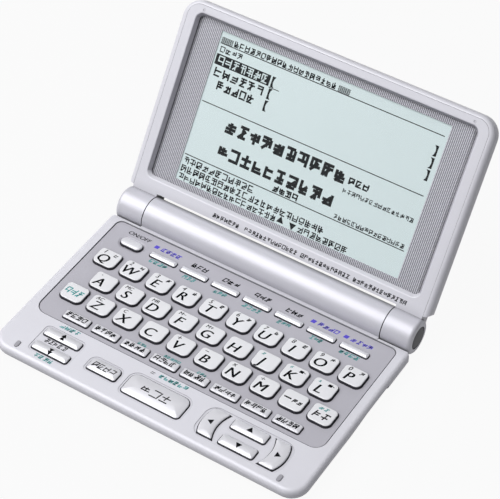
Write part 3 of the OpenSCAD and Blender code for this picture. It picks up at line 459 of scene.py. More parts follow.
def print_signs(bm, middle, length, height, z, ink, seed, slant=0.25, stroke=0.2, space=1.1):
    """A made-up label: a row of signs of a few strokes each, as wide as a word. Its seed sets the signs."""
    chance = random.Random(seed)
    sign_share = 0.82
    count = max(1, round(length / (space * height)))
    pitch = length / count
    wide = sign_share * pitch - stroke * height
    tall = (1 - stroke) * height
    foot = middle[1] - tall / 2
    for k in range(count):
        left = middle[0] - length / 2 + k * pitch + (pitch - wide) / 2 - slant * height / 2
        strokes = []
        for level in chance.sample((0.0, 0.33, 0.66, 1.0), chance.choice((2, 2, 3))):
            strokes.append((chance.choice((0, 0.2)), level, chance.choice((0.8, 1)), level))
        for share in chance.sample((0.0, 0.5, 1.0), chance.choice((1, 2, 2))):
            strokes.append((share, chance.choice((0, 0.3)), share, chance.choice((0.8, 1))))
        if chance.random() < 0.5:
            strokes.append((0.1, 0.0, 0.75, 0.6))
        for x0, y0, x1, y1 in strokes:
            print_stroke(bm, (left + x0 * wide + slant * y0 * height, foot + y0 * tall),
                         (left + x1 * wide + slant * y1 * height, foot + y1 * tall),
                         stroke * height, z, ink)


flange_out = 0.5 * mm
flange_t = 0.6 * mm


def key_row(node, count, gap):
    """The middles of a row of keys on one runner, the width of each key, and the row's middle in y."""
    low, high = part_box(node)
    step = (high.x - low.x - 2 * flange_out + gap) / count
    width = step - gap
    return [low.x + flange_out + width / 2 + k * step for k in range(count)], width, (low.y + high.y) / 2


upper_places, upper_width, upper_y = key_row("upper_function_keys", 7, 2.2 * mm)
lower_places, lower_width, lower_y = key_row("lower_function_keys", 8, 1.8 * mm)
power_low, power_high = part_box("power_key")
power_x = (power_low.x + power_high.x) / 2
black_labelled = (1, 2, 3, 4)
long_labelled = (0, 3, 6)
square_slant = 0.25

labels = bmesh.new()
print_text(labels, "ON/OFF", 1.75 * mm, Vector((power_x, upper_y + 5.6 * mm, panel_top)), BLACK,
           slant=0.25, stretch=1.15, bold=0.12 * mm)
for k, x in enumerate(upper_places):
    if k in black_labelled:
        print_signs(labels, (x, upper_y + 4.3 * mm), 7.6 * mm, 2.3 * mm, panel_top, BLACK, k)
    else:
        print_bar(labels, (x - 7.5 * mm, upper_y + 3.7 * mm), (x - 5.6 * mm, upper_y + 5.4 * mm),
                  panel_top, VIOLET, square_slant)
        print_signs(labels, (x + 0.7 * mm, upper_y + 4.6 * mm), 9.6 * mm, 2.1 * mm, panel_top, VIOLET, k)
    length = 8.8 if k in long_labelled else 5.8
    print_signs(labels, (x - 0.6 * mm, upper_y - 3.0 * mm), length * mm, 2.0 * mm, panel_top, TEAL, 20 + k)
for k, length in ((2, 4.4), (3, 7.8), (4, 4.4)):
    print_signs(labels, (lower_places[k] + 1.2 * mm, lower_y + 3.1 * mm), length * mm, 1.5 * mm,
                panel_top, TEAL, 40 + k)
settle(as_piece("panel_print", labels, INKS), "base", "lilac_panel")

# Letter keys
# Separate caps, painted white on top, with walls nearly black as painted shade, each held under the panel by
# a flange. The letter, the digit and the small signs are printed on the top.
key_paint = moulded_material("key paint", (0.79, 0.79, 0.82), (0.88, 0.88, 0.91), metallic=0.05,
                             coat=0.1, flake_amount=0.25, roughness=0.36)
# Nearly black: painted shade on the walls of every key cap and its runner.
key_wall_painted_shade = moulded_material("key wall painted shade", (0.035, 0.034, 0.042), (0.06, 0.058, 0.07), specular=0.25,
                             flake_amount=0.2, roughness=0.5)


def outline(width, depth, front_r, rear_r, steps=7):
    """Points round a rectangle with one radius on its front corners and another on its rear ones."""
    points = []
    for x, y, r, start in (
            (width / 2 - rear_r, depth / 2 - rear_r, rear_r, 0),
            (rear_r - width / 2, depth / 2 - rear_r, rear_r, 90),
            (front_r - width / 2, front_r - depth / 2, front_r, 180),
            (width / 2 - front_r, front_r - depth / 2, front_r, 270)):
        for k in range(steps + 1):
            a = radians(start + 90 * k / steps)
            points.append((x + r * cos(a), y + r * sin(a)))
    return points


least_r = 0.05 * mm


def key_outline(width, depth, front_r, rear_r):
    """The outline of a key as a function of how far it is drawn in."""

    def drawn_in(inset):
        return outline(width - 2 * inset, depth - 2 * inset, max(front_r - inset, least_r),
                       max(rear_r - inset, least_r))
    return drawn_in


def loft(bm, shape, levels, middle, paint_from):
    """Joins outlines level by level into a closed cap, which is nearly black up to level paint_from, as
    painted shade on its walls.
    """
    rings = []
    for inset, height in levels:
        rings.append([bm.verts.new((middle[0] + x, middle[1] + y, height)) for x, y in shape(inset)])
    bottom = bm.faces.new(rings[0][::-1])
    bottom.material_index = 1
    for index, (lower, upper) in enumerate(zip(rings, rings[1:])):
        count = len(lower)
        for k in range(count):
            after = (k + 1) % count
            face = bm.faces.new((lower[k], lower[after], upper[after], upper[k]))
            face.material_index = 0 if index >= paint_from else 1
    bm.faces.new(rings[-1])


edge_rounds = 5
crown_rounds = 6
edge_level = 4
crown_share = 0.92


def cap_levels(low, sill, top, edge, lean, crown, reach, flange=True):
    """Levels of a key cap: flange, upright foot, leaning wall, rounded edge and a crowned top.

    With a flange, the rounded edge starts at edge_level. Without one it starts two levels earlier.
    """
    if flange:
        levels = [(-flange_out, low), (-flange_out, low + flange_t), (0, low + flange_t)]
    else:
        levels = [(0, low)]
    levels.append((0, sill))
    for k in range(edge_rounds + 1):
        a = radians(90 * k / edge_rounds)
        levels.append((lean + edge * (1 - cos(a)), top - crown - edge * (1 - sin(a))))
    for k in range(1, crown_rounds + 1):
        share = k / crown_rounds
        levels.append((lean + edge + reach * share, top - crown * (1 - share) ** 2))
    return levels


def lay_print(bm, marks, middle, width, depth, crown, inset, reach):
    """Lays a print, made in its own mesh, on the crowned top of a key, and cuts it where the top bends."""
    on_cut = 0.0001 * mm
    steps = [inset + reach * k / crown_rounds for k in range(crown_rounds + 1)]
    for step in steps:
        for across, half in ((Vector((1, 0, 0)), width / 2), (Vector((0, 1, 0)), depth / 2)):
            for side in ((-1, 1) if half > step else ()):
                place = Vector((*middle, 0)) + across * side * (half - step)
                bmesh.ops.bisect_plane(marks, geom=marks.verts[:] + marks.edges[:] + marks.faces[:],
                                       plane_co=place, plane_no=across, dist=on_cut)
    for vert in marks.verts:
        inside = min(width / 2 - abs(vert.co.x - middle[0]), depth / 2 - abs(vert.co.y - middle[1]))
        share = min(max((inside - inset) / reach, 0), 1) * crown_rounds
        whole = min(int(share), crown_rounds - 1)
        outer, inner = ((1 - (whole + k) / crown_rounds) ** 2 for k in (0, 1))
        vert.co.z -= crown * (outer + (inner - outer) * (share - whole))
    print_mesh = bpy.data.meshes.new("print")
    marks.to_mesh(print_mesh)
    marks.free()
    bm.from_mesh(print_mesh)
    bpy.data.meshes.remove(print_mesh)


def key_cap(node, sill, front_r, rear_r, edge, lean, crown, draw):
    """A cap that fills the box of its CAD node, with what draw(marks, top) prints on its top."""
    low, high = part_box(node)
    width = high.x - low.x - 2 * flange_out
    depth = high.y - low.y - 2 * flange_out
    middle = ((low.x + high.x) / 2, (low.y + high.y) / 2)
    reach = crown_share * (min(width, depth) / 2 - lean - edge)
    bm = bmesh.new()
    loft(bm, key_outline(width, depth, front_r, rear_r),
         cap_levels(low.z, sill, high.z, edge, lean, crown, reach), middle, edge_level + 1)
    marks = bmesh.new()
    draw(marks, Vector((*middle, high.z)))
    lay_print(bm, marks, middle, width, depth, crown, lean + edge, reach)
    return bm


key_slant = 0.22
letter_rows = ["qwertyuiop", "asdfghjkl", "zxcvbnm"]
letter_marks = dict(zip("qwertyuiop", "1234567890"))
letter_marks.update({
    "a": "\u00b7", "s": "MC", "d": "MR", "f": "M\u2212", "g": "M+", "z": "AC", "x": "C", "v": "+",
    "b": "\u2212", "n": "\u00d7", "m": "\u00f7"})
letter_front_r = 2.7 * mm
letter_rear_r = 1.9 * mm
letter_edge = 0.35 * mm
letter_lean = 0.3 * mm
letter_crown = 0.08 * mm
letter_height = 4.1 * mm
letter_at = Vector((-1.6, -0.9, 0)) * mm
mark_at = Vector((-2.7, 2.75, 0)) * mm
long_mark_at = Vector((-2.1, 2.75, 0)) * mm
digit_height, word_height, sign_height = 2.0 * mm, 1.6 * mm, 2.3 * mm
KEY_BLACK, KEY_TEAL = 2 + BLACK, 2 + TEAL


def finish_key(bm, node, slot, paints):
    """One key with its print, riding on its own body."""
    body = frame["nodes"][node]["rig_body"]
    settle(as_piece(node + "_cap", bm, paints, crease=50), body, slot, node)


def white_key(node, draw):
    """A cap of the white kind, with what draw(marks, top) prints on it."""
    bm = key_cap(node, panel_top, letter_front_r, letter_rear_r, letter_edge, letter_lean, letter_crown,
                 draw)
    finish_key(bm, node, "letter_key_white", [key_paint, key_wall_painted_shade] + INKS)


def letter_print(letter):
    """Draws a letter left of the middle, its digit or sign above it and a plain mark at the right."""
    def draw(marks, top):
        print_text(marks, letter.upper(), letter_height, top + letter_at, KEY_BLACK, slant=key_slant,
                   stretch=1.08, bold=0.3 * mm)
        mark = letter_marks.get(letter)
        if mark:
            if mark.isdigit():
                height = digit_height
            elif mark[0].isalpha():
                height = word_height
            else:
                height = sign_height
            place = top + (mark_at if len(mark) == 1 else long_mark_at)
            print_text(marks, mark, height, place, KEY_BLACK, slant=key_slant, bold=0.1 * mm)
        if letter in letter_rows[0]:
            print_signs(marks, (top.x + 2.7 * mm, top.y + 2.5 * mm), 1.9 * mm, 1.7 * mm, top.z,
                        KEY_BLACK, ord(letter))
        elif letter in "jkl":
            print_signs(marks, (top.x - 2.6 * mm, top.y + 2.75 * mm), 1.4 * mm, 1.2 * mm, top.z,
                        KEY_TEAL, ord(letter))
        if letter in "kl":
            for x0, y0, x1, y1 in ((0.9, 1.9, 2.6, 3.2), (2.9, 2.4, 3.6, 2.7)):
                print_bar(marks, (top.x + x0 * mm, top.y + y0 * mm), (top.x + x1 * mm, top.y + y1 * mm),
                          top.z, KEY_BLACK, key_slant)
    return draw


for letter in "".join(letter_rows):
    white_key("key_" + letter, letter_print(letter))

# Shift, dash and delete keys
# The same caps as the letter keys, held in the same way. A teal label, a long dash and dark labels take the
# place of a letter.


def shift_print(marks, top):
    print_signs(marks, (top.x - 0.2 * mm, top.y), 8.2 * mm, 3.3 * mm, top.z, KEY_TEAL, 3, stroke=0.16,
                space=0.85)


def dash_print(marks, top):
    print_bar(marks, (top.x - 4.1 * mm, top.y - 0.2 * mm), (top.x - 0.9 * mm, top.y + 0.45 * mm), top.z,
              KEY_BLACK)
    print_signs(marks, (top.x + 1.9 * mm, top.y - 0.1 * mm), 4.2 * mm, 1.9 * mm, top.z, KEY_BLACK, 5)


def delete_print(marks, top):
    print_signs(marks, (top.x - 0.6 * mm, top.y + 2.6 * mm), 4.2 * mm, 1.6 * mm, top.z, KEY_TEAL, 6)
    print_signs(marks, (top.x, top.y - 0.7 * mm), 6.8 * mm, 3.3 * mm, top.z, KEY_BLACK, 8,
                stroke=0.17)


white_key("key_shift", shift_print)
white_key("key_dash", dash_print)
white_key("key_delete", delete_print)

# Power and function keys
# Silver painted caps: an oval power key, seven thin keys above the letters and eight deeper ones with labels
# below them. Each of the two rows stands on one runner.
silver_key_paint = moulded_material(
    "silver key paint", (0.80, 0.795, 0.84), (0.88, 0.88, 0.92), metallic=0.3, coat=0.05,
    flake_amount=0.25, roughness=0.38)
pale_key_paint = moulded_material(
    "pale key paint", (0.74, 0.735, 0.78), (0.88, 0.88, 0.92), metallic=0.15, coat=0.15,
    flake_amount=0.25, roughness=0.32)
silver_lean = 0.2 * mm
silver_paints = [silver_key_paint, key_wall_painted_shade] + INKS
power_end_r = (power_high.y - power_low.y) / 2 - flange_out - 0.01 * mm
power_edge = 0.7 * mm
power_crown = 0.12 * mm
row_edge = 0.3 * mm
row_corner = 0.9 * mm
foot_in_runner = 0.1 * mm


def no_print(marks, top):
    """Leaves a key bare."""


finish_key(key_cap("power_key", panel_top, power_end_r, power_end_r, power_edge, silver_lean,
                   power_crown, no_print), "power_key", "silver_key", silver_paints)


def key_strip(node, places, width, crown, paint, labelled):
    """A row of small caps on one runner."""
    bm = bmesh.new()
    low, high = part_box(node)
    depth = high.y - low.y - 2 * flange_out
    y = (low.y + high.y) / 2
    runner = outline(high.x - low.x, high.y - low.y, least_r, least_r, 1)
    loft(bm, lambda inset: runner, [(0, low.z), (0, low.z + flange_t)], ((low.x + high.x) / 2, y), 1)
    for face in bm.faces:
        face.material_index = 1
    reach = crown_share * (depth / 2 - silver_lean - row_edge)
    levels = cap_levels(low.z + flange_t - foot_in_runner, panel_top, high.z, row_edge, silver_lean,
                        crown, reach, flange=False)
    for k, x in enumerate(places):
        loft(bm, key_outline(width, depth, row_corner, row_corner), levels, (x, y), edge_level - 2)
        if labelled:
            marks = bmesh.new()
            print_signs(marks, (x - 0.2 * mm, y + 0.3 * mm), width - 2.6 * mm, 2.4 * mm, high.z,
                        KEY_BLACK, 60 + k, stroke=0.18)
            lay_print(bm, marks, (x, y), width, depth, crown, silver_lean + row_edge, reach)
    finish_key(bm, node, "silver_key", [paint, key_wall_painted_shade] + INKS)


key_strip("upper_function_keys", upper_places, upper_width, 0.3 * mm, silver_key_paint, False)
key_strip("lower_function_keys", lower_places, lower_width, 0.15 * mm, pale_key_paint, True)

# Front keys
# Larger silver caps in the upper case itself: two paging keys, the back key, the wide enter key and the
# four arrow keys. The recess round each group is a little lower than the top of the case.
case_top = 7.3 * mm
recess_top = case_top - 0.2 * mm
front_edge = 0.4 * mm


def triangle(bm, middle, size, turn, z, ink):
    """A small printed arrow head. A turn of 0 points to the rear."""
    corners = []
    for k in range(3):
        a = radians(90 + turn + 120 * k)
        corners.append((middle[0] + size * cos(a), middle[1] + size * sin(a)))
    print_patch(bm, corners, z, ink)


def arrow_print(turn, size, *places):
    """Draws arrow heads at some places across the middle of a key."""
    def draw(marks, top):
        for y in places:
            triangle(marks, (top.x, top.y + y * mm), size * mm, turn, top.z, KEY_BLACK)
    return draw


def label_print(length, height, seed, stroke):
    """Draws a plain label in the middle of a key."""
    def draw(marks, top):
        print_signs(marks, top[:2], length * mm, height * mm, top.z, KEY_BLACK, seed, stroke=stroke)
    return draw


for node, front_r, rear_r, crown, draw in (
        ("page_up_key", 1.1, 1.1, 0.28, arrow_print(0, 1.3, -0.6, 0.9)),
        ("page_down_key", 1.1, 1.1, 0.28, arrow_print(180, 1.3, -0.9, 0.6)),
        ("back_key", 1.1, 2.2, 0.3, label_print(10.6, 2.7, 7, 0.15)),
        ("enter_key", 1.8, 3.4, 0.45, label_print(13.6, 3.7, 9, 0.13)),
        ("up_key", 1.1, 1.1, 0.28, arrow_print(0, 1.6, 0.2)),
        ("down_key", 1.1, 1.1, 0.28, arrow_print(180, 1.6, 0.4))):
    finish_key(key_cap(node, recess_top, front_r * mm, rear_r * mm, front_edge, silver_lean, crown * mm,
                       draw), node, "silver_key", silver_paints)

arrow_arc_r = 14 * mm
arrow_w = 6.9 * mm
arrow_corner = 1.0 * mm
arrow_corner_least = 0.1 * mm
arrow_crown = 0.2 * mm
arrow_crown_reach = 2.2 * mm
arrow_head_in = 3.8 * mm
arrow_head = 1.5 * mm


def arrow_outline(side, depth):
    """Outline of a side arrow key, between two equal arcs, as a function of how far it is drawn in."""
    bend = 4
    arc_points = 9

    def drawn_in(inset):
        half = depth / 2 - inset
        soft = max(arrow_corner - inset, arrow_corner_least)

        def outer(y):
            return arrow_arc_r - sqrt((arrow_arc_r - inset) ** 2 - y * y)

        def inner(y):
            return arrow_arc_r + arrow_w - sqrt((arrow_arc_r + inset) ** 2 - y * y)

        def bent(start, middle, end):
            for k in range(bend + 1):
                t = k / bend
                yield ((1 - t) ** 2 * start[0] + 2 * t * (1 - t) * middle[0] + t * t * end[0],
                       (1 - t) ** 2 * start[1] + 2 * t * (1 - t) * middle[1] + t * t * end[1])

        reach = half - soft
        heights = [reach * (1 - 2 * k / arc_points) for k in range(1, arc_points)]
        points = list(bent((outer(half) + soft, half), (outer(half), half), (outer(reach), reach)))
        points += [(outer(y), y) for y in heights]
        points += bent((outer(reach), -reach), (outer(half), -half), (outer(half) + soft, -half))
        points += bent((inner(half) - soft, -half), (inner(half), -half), (inner(reach), -reach))
        points += [(inner(y), -y) for y in heights]
        points += bent((inner(reach), reach), (inner(half), half), (inner(half) - soft, half))
        if side > 0:
            points = [(-x, y) for x, y in points[::-1]]
        return points
    return drawn_in


for node, side in (("left_key", -1), ("right_key", 1)):
    bm = bmesh.new()
    low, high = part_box(node)
    depth = high.y - low.y - 2 * flange_out
    middle_y = (low.y + high.y) / 2
    start_x = low.x + flange_out if side < 0 else high.x - flange_out
    levels = cap_levels(low.z, recess_top, high.z, front_edge, silver_lean, arrow_crown,
                        arrow_crown_reach)
    loft(bm, arrow_outline(side, depth), levels, (start_x, middle_y), edge_level)
    triangle(bm, (start_x - side * arrow_head_in, middle_y), arrow_head, -90 * side, high.z, KEY_BLACK)
    finish_key(bm, node, "silver_key", silver_paints)

# Labels round the front keys
# Printed on the upper case in teal and black ink: made-up signs round the paging keys and over the enter
# key, and an equals sign.
labels = bmesh.new()
page_low, page_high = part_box("page_down_key")
page_x = (page_low.x + page_high.x) / 2
page_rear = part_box("page_up_key")[1].y - flange_out
page_front = page_low.y + flange_out
page_y = (page_rear + page_front) / 2
print_signs(labels, (page_x - 0.6 * mm, page_rear + 3.2 * mm), 9.2 * mm, 1.9 * mm, case_top, TEAL, 71)
print_signs(labels, (page_x - 0.5 * mm, page_front - 1.9 * mm), 9.3 * mm, 1.9 * mm, case_top, TEAL, 72)
print_signs(labels, (page_x - 0.8 * mm, page_y + 0.3 * mm), 10.4 * mm, 2.1 * mm, recess_top, BLACK, 74,
            stroke=0.17)
enter_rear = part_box("enter_key")[1].y - flange_out
print_text(labels, "=", 2.2 * mm, Vector((-7.8 * mm, enter_rear + 3.4 * mm, case_top)), BLACK,
           slant=key_slant, bold=0.15 * mm)
print_signs(labels, (1.9 * mm, enter_rear + 3.8 * mm), 13.0 * mm, 2.1 * mm, case_top, TEAL, 73)
settle(as_piece("case_print", labels, INKS), "base", "silver_case")

# Hinge pins and end caps
# Steel pins with friction collars join the lid's barrel sections to the base, and a dark grey disc closes
# each end of the barrel.
hinge_steel = moulded_material("hinge steel", (0.48, 0.48, 0.50), (0.7, 0.7, 0.7), metallic=1.0,
                               flake_amount=0.2, roughness=0.3)
cap_resin = moulded_material("cap resin", (0.06, 0.06, 0.07), (0.12, 0.12, 0.14), specular=0.08,
                             flake_amount=0.3, roughness=0.4)
paint_node("hinge_pins", hinge_steel)
caps = bmesh.new()
caps_low, caps_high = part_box("hinge_end_caps")
cap_r = (caps_high.z - caps_low.z) / 2
cap_turns = 48
cap_profile = ((1, 0.9), (1, 0.4), (0.985, 0.24), (0.95, 0.12), (0.88, 0.05), (0.6, 0.015), (0.1, 0))
for side, face_x in ((-1, caps_low.x), (1, caps_high.x)):
    rings = []
    for share, depth in cap_profile:
        rings.append([caps.verts.new((face_x - side * depth * mm, hinge.y + share * cap_r * cos(a),
                                      hinge.z + share * cap_r * sin(a)))
                      for a in (radians(360 * k / cap_turns) for k in range(cap_turns))])
    for inner, outer in zip(rings, rings[1:]):
        for k in range(cap_turns):
            after = (k + 1) % cap_turns
            caps.faces.new((inner[k], inner[after], outer[after], outer[k]))
    caps.faces.new(rings[0])
    caps.faces.new(rings[-1])
settle(as_piece("hinge_end_discs", caps, [cap_resin], crease=60), "lid", "cap_grey", "hinge_end_caps")

# Lid back
# The outer shell of the lid, a silver painted tray moulded with the two short end sections of the barrel,
# which hold the pins and the end caps.
paint_node("lid_back", silver_paint)
paint_barrel("lid_back")

# Display
# The display cell on its board, a printed border with fine oval dots round the picture, and a clear
# window in front of both.
lid_lean = radians(180 + lid_hinge["range_deg"][0])
lid_place = Matrix.Translation(hinge) @ Matrix.Rotation(lid_lean, 4, "X")
paint_node("display_board", board_laminate)


def display_material():
    """The pale green picture area of the display cell, faintly uneven like a reflective display."""
    material, tree, shader = new_material("display cell")
    link = tree.links.new
    set_values(shader, Roughness=0.4)
    spots = add_node(tree, "ShaderNodeTexCoord", (-900, 0))
    cloud = add_node(tree, "ShaderNodeTexNoise", (-700, 100), Scale=25.0, Detail=2.0)
    link(spots.outputs["Object"], cloud.inputs["Vector"])
    tone = add_node(tree, "ShaderNodeMix", (-450, 100), data_type="RGBA", A=(0.670, 0.780, 0.785, 1),
                    B=(0.695, 0.800, 0.808, 1))
    link(cloud.outputs["Fac"], tone.inputs["Factor"])
    link(tone.outputs["Result"], shader.inputs["Base Color"])
    return material


def border_material():
    """The printed border: light ovals in staggered columns on a darker ground."""
    material, tree, shader = new_material("border print")
    link = tree.links.new
    set_values(shader, Roughness=0.35, location=(500, 100))
    spots = add_node(tree, "ShaderNodeTexCoord", (-1500, 0))
    turn = add_node(tree, "ShaderNodeMapping", (-1300, 0), Rotation=(-lid_lean, 0, 0))
    link(spots.outputs["Object"], turn.inputs["Vector"])
    parts = add_node(tree, "ShaderNodeSeparateXYZ", (-1100, 0))
    link(turn.outputs["Vector"], parts.inputs["Vector"])
    column_step = 0.80 * mm
    oval_step = 0.56 * mm
    column = maths(tree, "DIVIDE", (-900, 200), parts.outputs["X"], column_step)
    odd = maths(tree, "PINGPONG", (-700, 300), maths(tree, "FLOOR", (-800, 300), column), 1.0)
    half_step = maths(tree, "MULTIPLY", (-600, 300), odd, 0.5)
    row = maths(tree, "ADD", (-600, 100),
                maths(tree, "DIVIDE", (-900, 0), parts.outputs["Y"], oval_step), half_step)
    across = maths(tree, "SUBTRACT", (-400, 200), maths(tree, "FRACT", (-500, 200), column), 0.5)
    along = maths(tree, "SUBTRACT", (-400, 0), maths(tree, "FRACT", (-500, 0), row), 0.5)
    wide = maths(tree, "MULTIPLY", (-250, 200), across, across)
    tall = maths(tree, "MULTIPLY", (-250, 0), along, along)
    spread = maths(tree, "ADD", (-100, 100), maths(tree, "MULTIPLY", (-200, 200), wide, 1.6),
                   maths(tree, "MULTIPLY", (-200, 0), tall, 0.8))
    dot = add_node(tree, "ShaderNodeMapRange", (50, 100), interpolation_type="SMOOTHSTEP",
                   From_Min=0.11, From_Max=0.20, To_Min=1.0, To_Max=0.0)
    link(spread, dot.inputs["Value"])
    tone = add_node(tree, "ShaderNodeMix", (250, 100), data_type="RGBA", A=(0.17, 0.17, 0.20, 1),
                    B=(0.72, 0.71, 0.77, 1))
    link(dot.outputs["Result"], tone.inputs["Factor"])
    link(tone.outputs["Result"], shader.inputs["Base Color"])
    return material


display_cell = display_material()
paint_node("display_glass", display_cell)
paint_node("display_border", border_material())

window_acrylic = moulded_material("window acrylic", (0.55, 0.58, 0.60), (0.6, 0.62, 0.64),
                                  flake_amount=0.0, cloud_depth=0.02, roughness=0.06, grain_height=0.0)
set_values(window_acrylic.node_tree.nodes["Principled BSDF"], Alpha=0.025)
paint_node("display_window", window_acrylic)

# Picture on the display
# Dark picture points of the cell, drawn as thin bars: a title row between hatched blocks, one inverted row
# in a short list, brackets, rules, and rows of large and small signs. The page is made up.
picture_ink = moulded_material("picture points", (0.004, 0.005, 0.006), (0.01, 0.012, 0.014),
                               specular=0.05, flake_amount=0.1, roughness=0.6)
DARK, CLEAR = 0, 1
picture = bmesh.new()
picture_z = -3.05 * mm
on_bar = 0.01 * mm
# From here on in millimetres along the lid's own axes.
picture_left = -52.2
rule_right = 51.5
rule_t = 0.38
hatch_left = (picture_left, 2.9)
hatch_foot, hatch_length, hatch_height = 77.45, 5.4, 2.37
line_rows, line_step, line_t = 6, 0.43, 0.22
post_count, post_step, post_w = 7, 0.8, 0.2
row_feet = (68.3, 63.2, 58.1)
bracket = ((0, 0), (1.7, 0), (1.05, 0.8), (0.8, 2.2), (1.05, 3.6), (1.7, 4.5), (0, 4.5))


def picture_bar(x, u, length, height):
    """A bar on the picture, placed from its lower left corner in millimetres."""
    print_bar(picture, (x * mm, u * mm), ((x + length) * mm, (u + height) * mm), picture_z, DARK)


def picture_signs(x, u, length, height, seed, stroke, ink=DARK, lift=0.0):
    """A row of made-up signs on the picture, placed from its lower left corner in millimetres."""
    print_signs(picture, ((x + length / 2) * mm, (u + height / 2) * mm), length * mm, height * mm,
                picture_z + lift, ink, seed, slant=0.0, stroke=stroke, space=1.04)


for u in (77.0, 52.0, 28.6):
    picture_bar(picture_left, u, rule_right - picture_left, rule_t)
for x in hatch_left:
    for k in range(line_rows):
        picture_bar(x + 0.12 * (k % 2), hatch_foot + line_step * k, hatch_length, line_t)
    for k in range(post_count):
        picture_bar(x + post_w + post_step * k, hatch_foot, post_w, hatch_height)
picture_bar(picture_left, row_feet[0], 26.0, 4.5)
picture_signs(-51.2, 68.8, 24.2, 3.5, 3, 0.14, CLEAR, on_bar)
for u in row_feet:
    for x, side in ((-25.4, 1), (50.7, -1)):
        print_patch(picture, [((x + side * out) * mm, (u + up) * mm) for out, up in bracket[::side]],
                    picture_z, DARK)
picture_bar(-25.9, 67.9, 5.0, 0.3)
for x, u, length, height, seed, stroke in (
        (-46.3, 77.6, 48.6, 2.5, 1, 0.19), (-51.8, 73.7, 11.0, 2.4, 2, 0.17),
        (-51.4, 63.6, 24.2, 3.7, 4, 0.19), (-48.3, 58.7, 18.2, 3.7, 5, 0.19),
        (-38.8, 43.6, 57.4, 5.6, 6, 0.23), (19.6, 44.6, 9.8, 2.9, 7, 0.23),
        (18.7, 40.5, 32.4, 1.9, 8, 0.17), (-38.8, 33.0, 55.6, 5.6, 9, 0.23),
        (-10.3, 29.3, 12.2, 2.8, 10, 0.22), (18.7, 29.4, 32.4, 1.9, 11, 0.17),
        (picture_left, 24.9, 34.6, 2.9, 12, 0.17), (picture_left, 21.3, 69.2, 2.9, 13, 0.17),
        (picture_left, 17.9, 47.6, 2.7, 14, 0.17), (5.7, 17.9, 23.4, 2.7, 15, 0.17)):
    picture_signs(x, u, length, height, seed, stroke)
for x, turn in ((-2.4, 0), (3.3, 180)):
    triangle(picture, (x * mm, 19.4 * mm), 1.9 * mm, turn, picture_z, DARK)
bmesh.ops.transform(picture, matrix=lid_place, verts=picture.verts)
settle(as_piece("display_picture", picture, [picture_ink, display_cell]), "lid", "display_cell")

# Lid front frame
# The plate that frames the display, set into the lid back. Its window sides slope down, and all but the
# lower one
# are darker grey than its face: painted shade on the sides that face away from the light. A line of small
# made-up signs is printed on its foot.
window_wall_painted_shade = moulded_material(
    "window wall painted shade", (0.40, 0.395, 0.44), (0.55, 0.55, 0.6), specular=0.15, flake_amount=0.2,
    roughness=0.5)
into_lid = lid_place.inverted()
window_foot_u = 13 * mm
window_top_u = 86.6 * mm
window_side_x = 65.2 * mm
face_w = 0.3 * mm
face_tolerance = 0.02 * mm
below_rim_w = 0.1 * mm
rim_round = 0.28 * mm
least_fold = radians(10)


def in_window(place):
    """Whether a place, given along the lid's own axes, is inside the outer edge of the window's rim."""
    return window_foot_u < place.y < window_top_u and abs(place.x) < window_side_x


bm = bmesh.new()
bm.from_mesh(frame["nodes"]["lid_frame"].data)
bmesh.ops.remove_doubles(bm, verts=bm.verts, dist=weld)
rim = []
for edge in bm.edges:
    ends = [into_lid @ vert.co for vert in edge.verts]
    on_rim = all(abs(end.z - face_w) < face_tolerance and in_window(end) for end in ends)
    if on_rim and edge.calc_face_angle(0) > least_fold:
        rim.append(edge)
bmesh.ops.bevel(bm, geom=rim, offset=rim_round, segments=3, profile=0.5, affect="EDGES",
                clamp_overlap=False)
bm.normal_update()
lid_outward = lid_place.to_3x3() @ Vector((0, 0, 1))
lid_up = lid_place.to_3x3() @ Vector((0, 1, 0))
# The sloping window sides, all but the lower one, take the darker grey as painted shade.
for face in bm.faces:
    middle = into_lid @ face.calc_center_median()
    sloping = middle.z < below_rim_w and 0.05 < face.normal.dot(lid_outward) < 0.9
    lower_side = face.normal.dot(lid_up) >= 0.3
    face.material_index = int(in_window(middle) and sloping and not lower_side)
settle(as_piece("lid_frame_moulding", bm, [silver_paint, window_wall_painted_shade]), "lid", "silver_case",
       "lid_frame")

lid_print = bmesh.new()
print_u = 10.8 * mm
for left, right, seed in ((-30.2, -17.0, 81), (-14.8, 10.5, 82), (12.0, 35.0, 83), (36.5, 61.0, 84)):
    print_signs(lid_print, ((left + right) / 2 * mm, print_u), (right - left) * mm, 1.9 * mm, face_w,
                BLACK, seed, slant=0.1, stroke=0.17, space=0.95)
bmesh.ops.transform(lid_print, matrix=lid_place, verts=lid_print.verts)
settle(as_piece("lid_print", lid_print, INKS), "lid", "silver_case")

# Studio
# A plain pale floor that the camera sees as white with the shadow kept, soft light from above and the
# front, and a camera where the photograph was taken from.
floor_mesh = bpy.data.meshes.new("floor")
floor_half = 3.0
floor_mesh.from_pydata(
    [(-floor_half, -floor_half, 0), (floor_half, -floor_half, 0), (floor_half, floor_half, 0),
     (-floor_half, floor_half, 0)], [], [(0, 1, 2, 3)])
floor = put_in_scene("floor", floor_mesh)


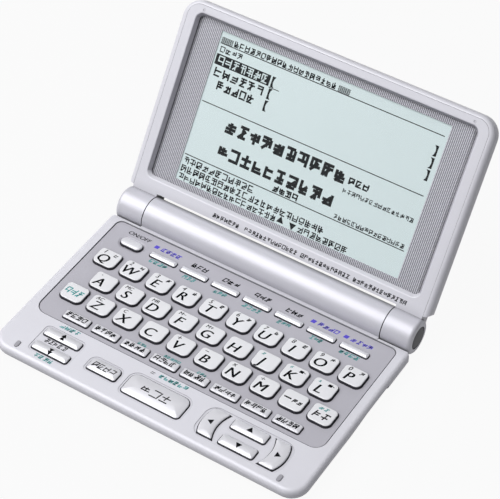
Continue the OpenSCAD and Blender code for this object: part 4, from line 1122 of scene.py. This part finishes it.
def pale_floor_material():
    """Pale paper. To the camera and in reflections most of it is plain white, and a little is lit paper."""
    material, tree, paper = new_material("pale floor")
    link = tree.links.new
    set_values(paper, Base_Color=(0.28, 0.28, 0.29, 1), Roughness=0.9, Specular_IOR_Level=0.1)
    white = add_node(tree, "ShaderNodeEmission", (0, -500), Strength=1.0)
    white_share = 0.94
    rays = add_node(tree, "ShaderNodeLightPath", (-600, 400))
    seen = maths(tree, "MAXIMUM", (-400, 400), rays.outputs["Is Camera Ray"], rays.outputs["Is Glossy Ray"])
    through = maths(tree, "MAXIMUM", (-200, 400), seen, rays.outputs["Is Transmission Ray"])
    mix = add_node(tree, "ShaderNodeMixShader", (300, 0))
    link(maths(tree, "MULTIPLY", (0, 400), through, white_share), mix.inputs["Fac"])
    link(paper.outputs["BSDF"], mix.inputs[1])
    link(white.outputs["Emission"], mix.inputs[2])
    output = tree.nodes["Material Output"]
    output.location = (500, 0)
    link(mix.outputs["Shader"], output.inputs["Surface"])
    return material


floor_mesh.materials.append(pale_floor_material())

world = bpy.data.worlds.new("studio air")
bpy.context.scene.world = world
world.use_nodes = True
air_tree = world.node_tree
air = air_tree.nodes["Background"]
air.inputs["Color"].default_value = (0.97, 0.98, 1.0, 1)
overhead = Vector((0.16, -0.45, 0.88)).normalized()
looking = add_node(air_tree, "ShaderNodeTexCoord", (-900, 0))
facing = add_node(air_tree, "ShaderNodeVectorMath", (-700, 0), operation="DOT_PRODUCT")
facing.inputs[1].default_value = overhead
air_tree.links.new(looking.outputs["Generated"], facing.inputs[0])
sky = add_node(air_tree, "ShaderNodeMapRange", (-450, 0), interpolation_type="SMOOTHSTEP",
               From_Min=0.60, From_Max=0.95, To_Min=0.09, To_Max=0.58)
air_tree.links.new(facing.outputs["Value"], sky.inputs["Value"])
air_tree.links.new(sky.outputs["Result"], air.inputs["Strength"])

to_softbox = Vector((-0.45, -0.27, 0.85))
softbox_distance = 1.1
softbox_light = bpy.data.lights.new("key softbox", "AREA")
softbox_light.shape = "SQUARE"
softbox_light.size = 1.0
softbox_light.energy = 13.6
softbox = put_in_scene("key softbox", softbox_light)
softbox.location = to_softbox.normalized() * softbox_distance
softbox.rotation_euler = to_softbox.to_track_quat("Z", "Y").to_euler()

camera_data = bpy.data.cameras.new("camera")
camera = put_in_scene("camera", camera_data)
camera.location = Vector((290.7, -443.1, 587.4)) * mm
camera.rotation_euler = (radians(43.735), radians(0.19), radians(32.811))
camera_data.sensor_width = 36
camera_data.lens = 141.34
camera_data.clip_start = 0.01
bpy.context.scene.camera = camera
bpy.context.scene.view_settings.view_transform = "Standard"

bpy.context.view_layer.update()
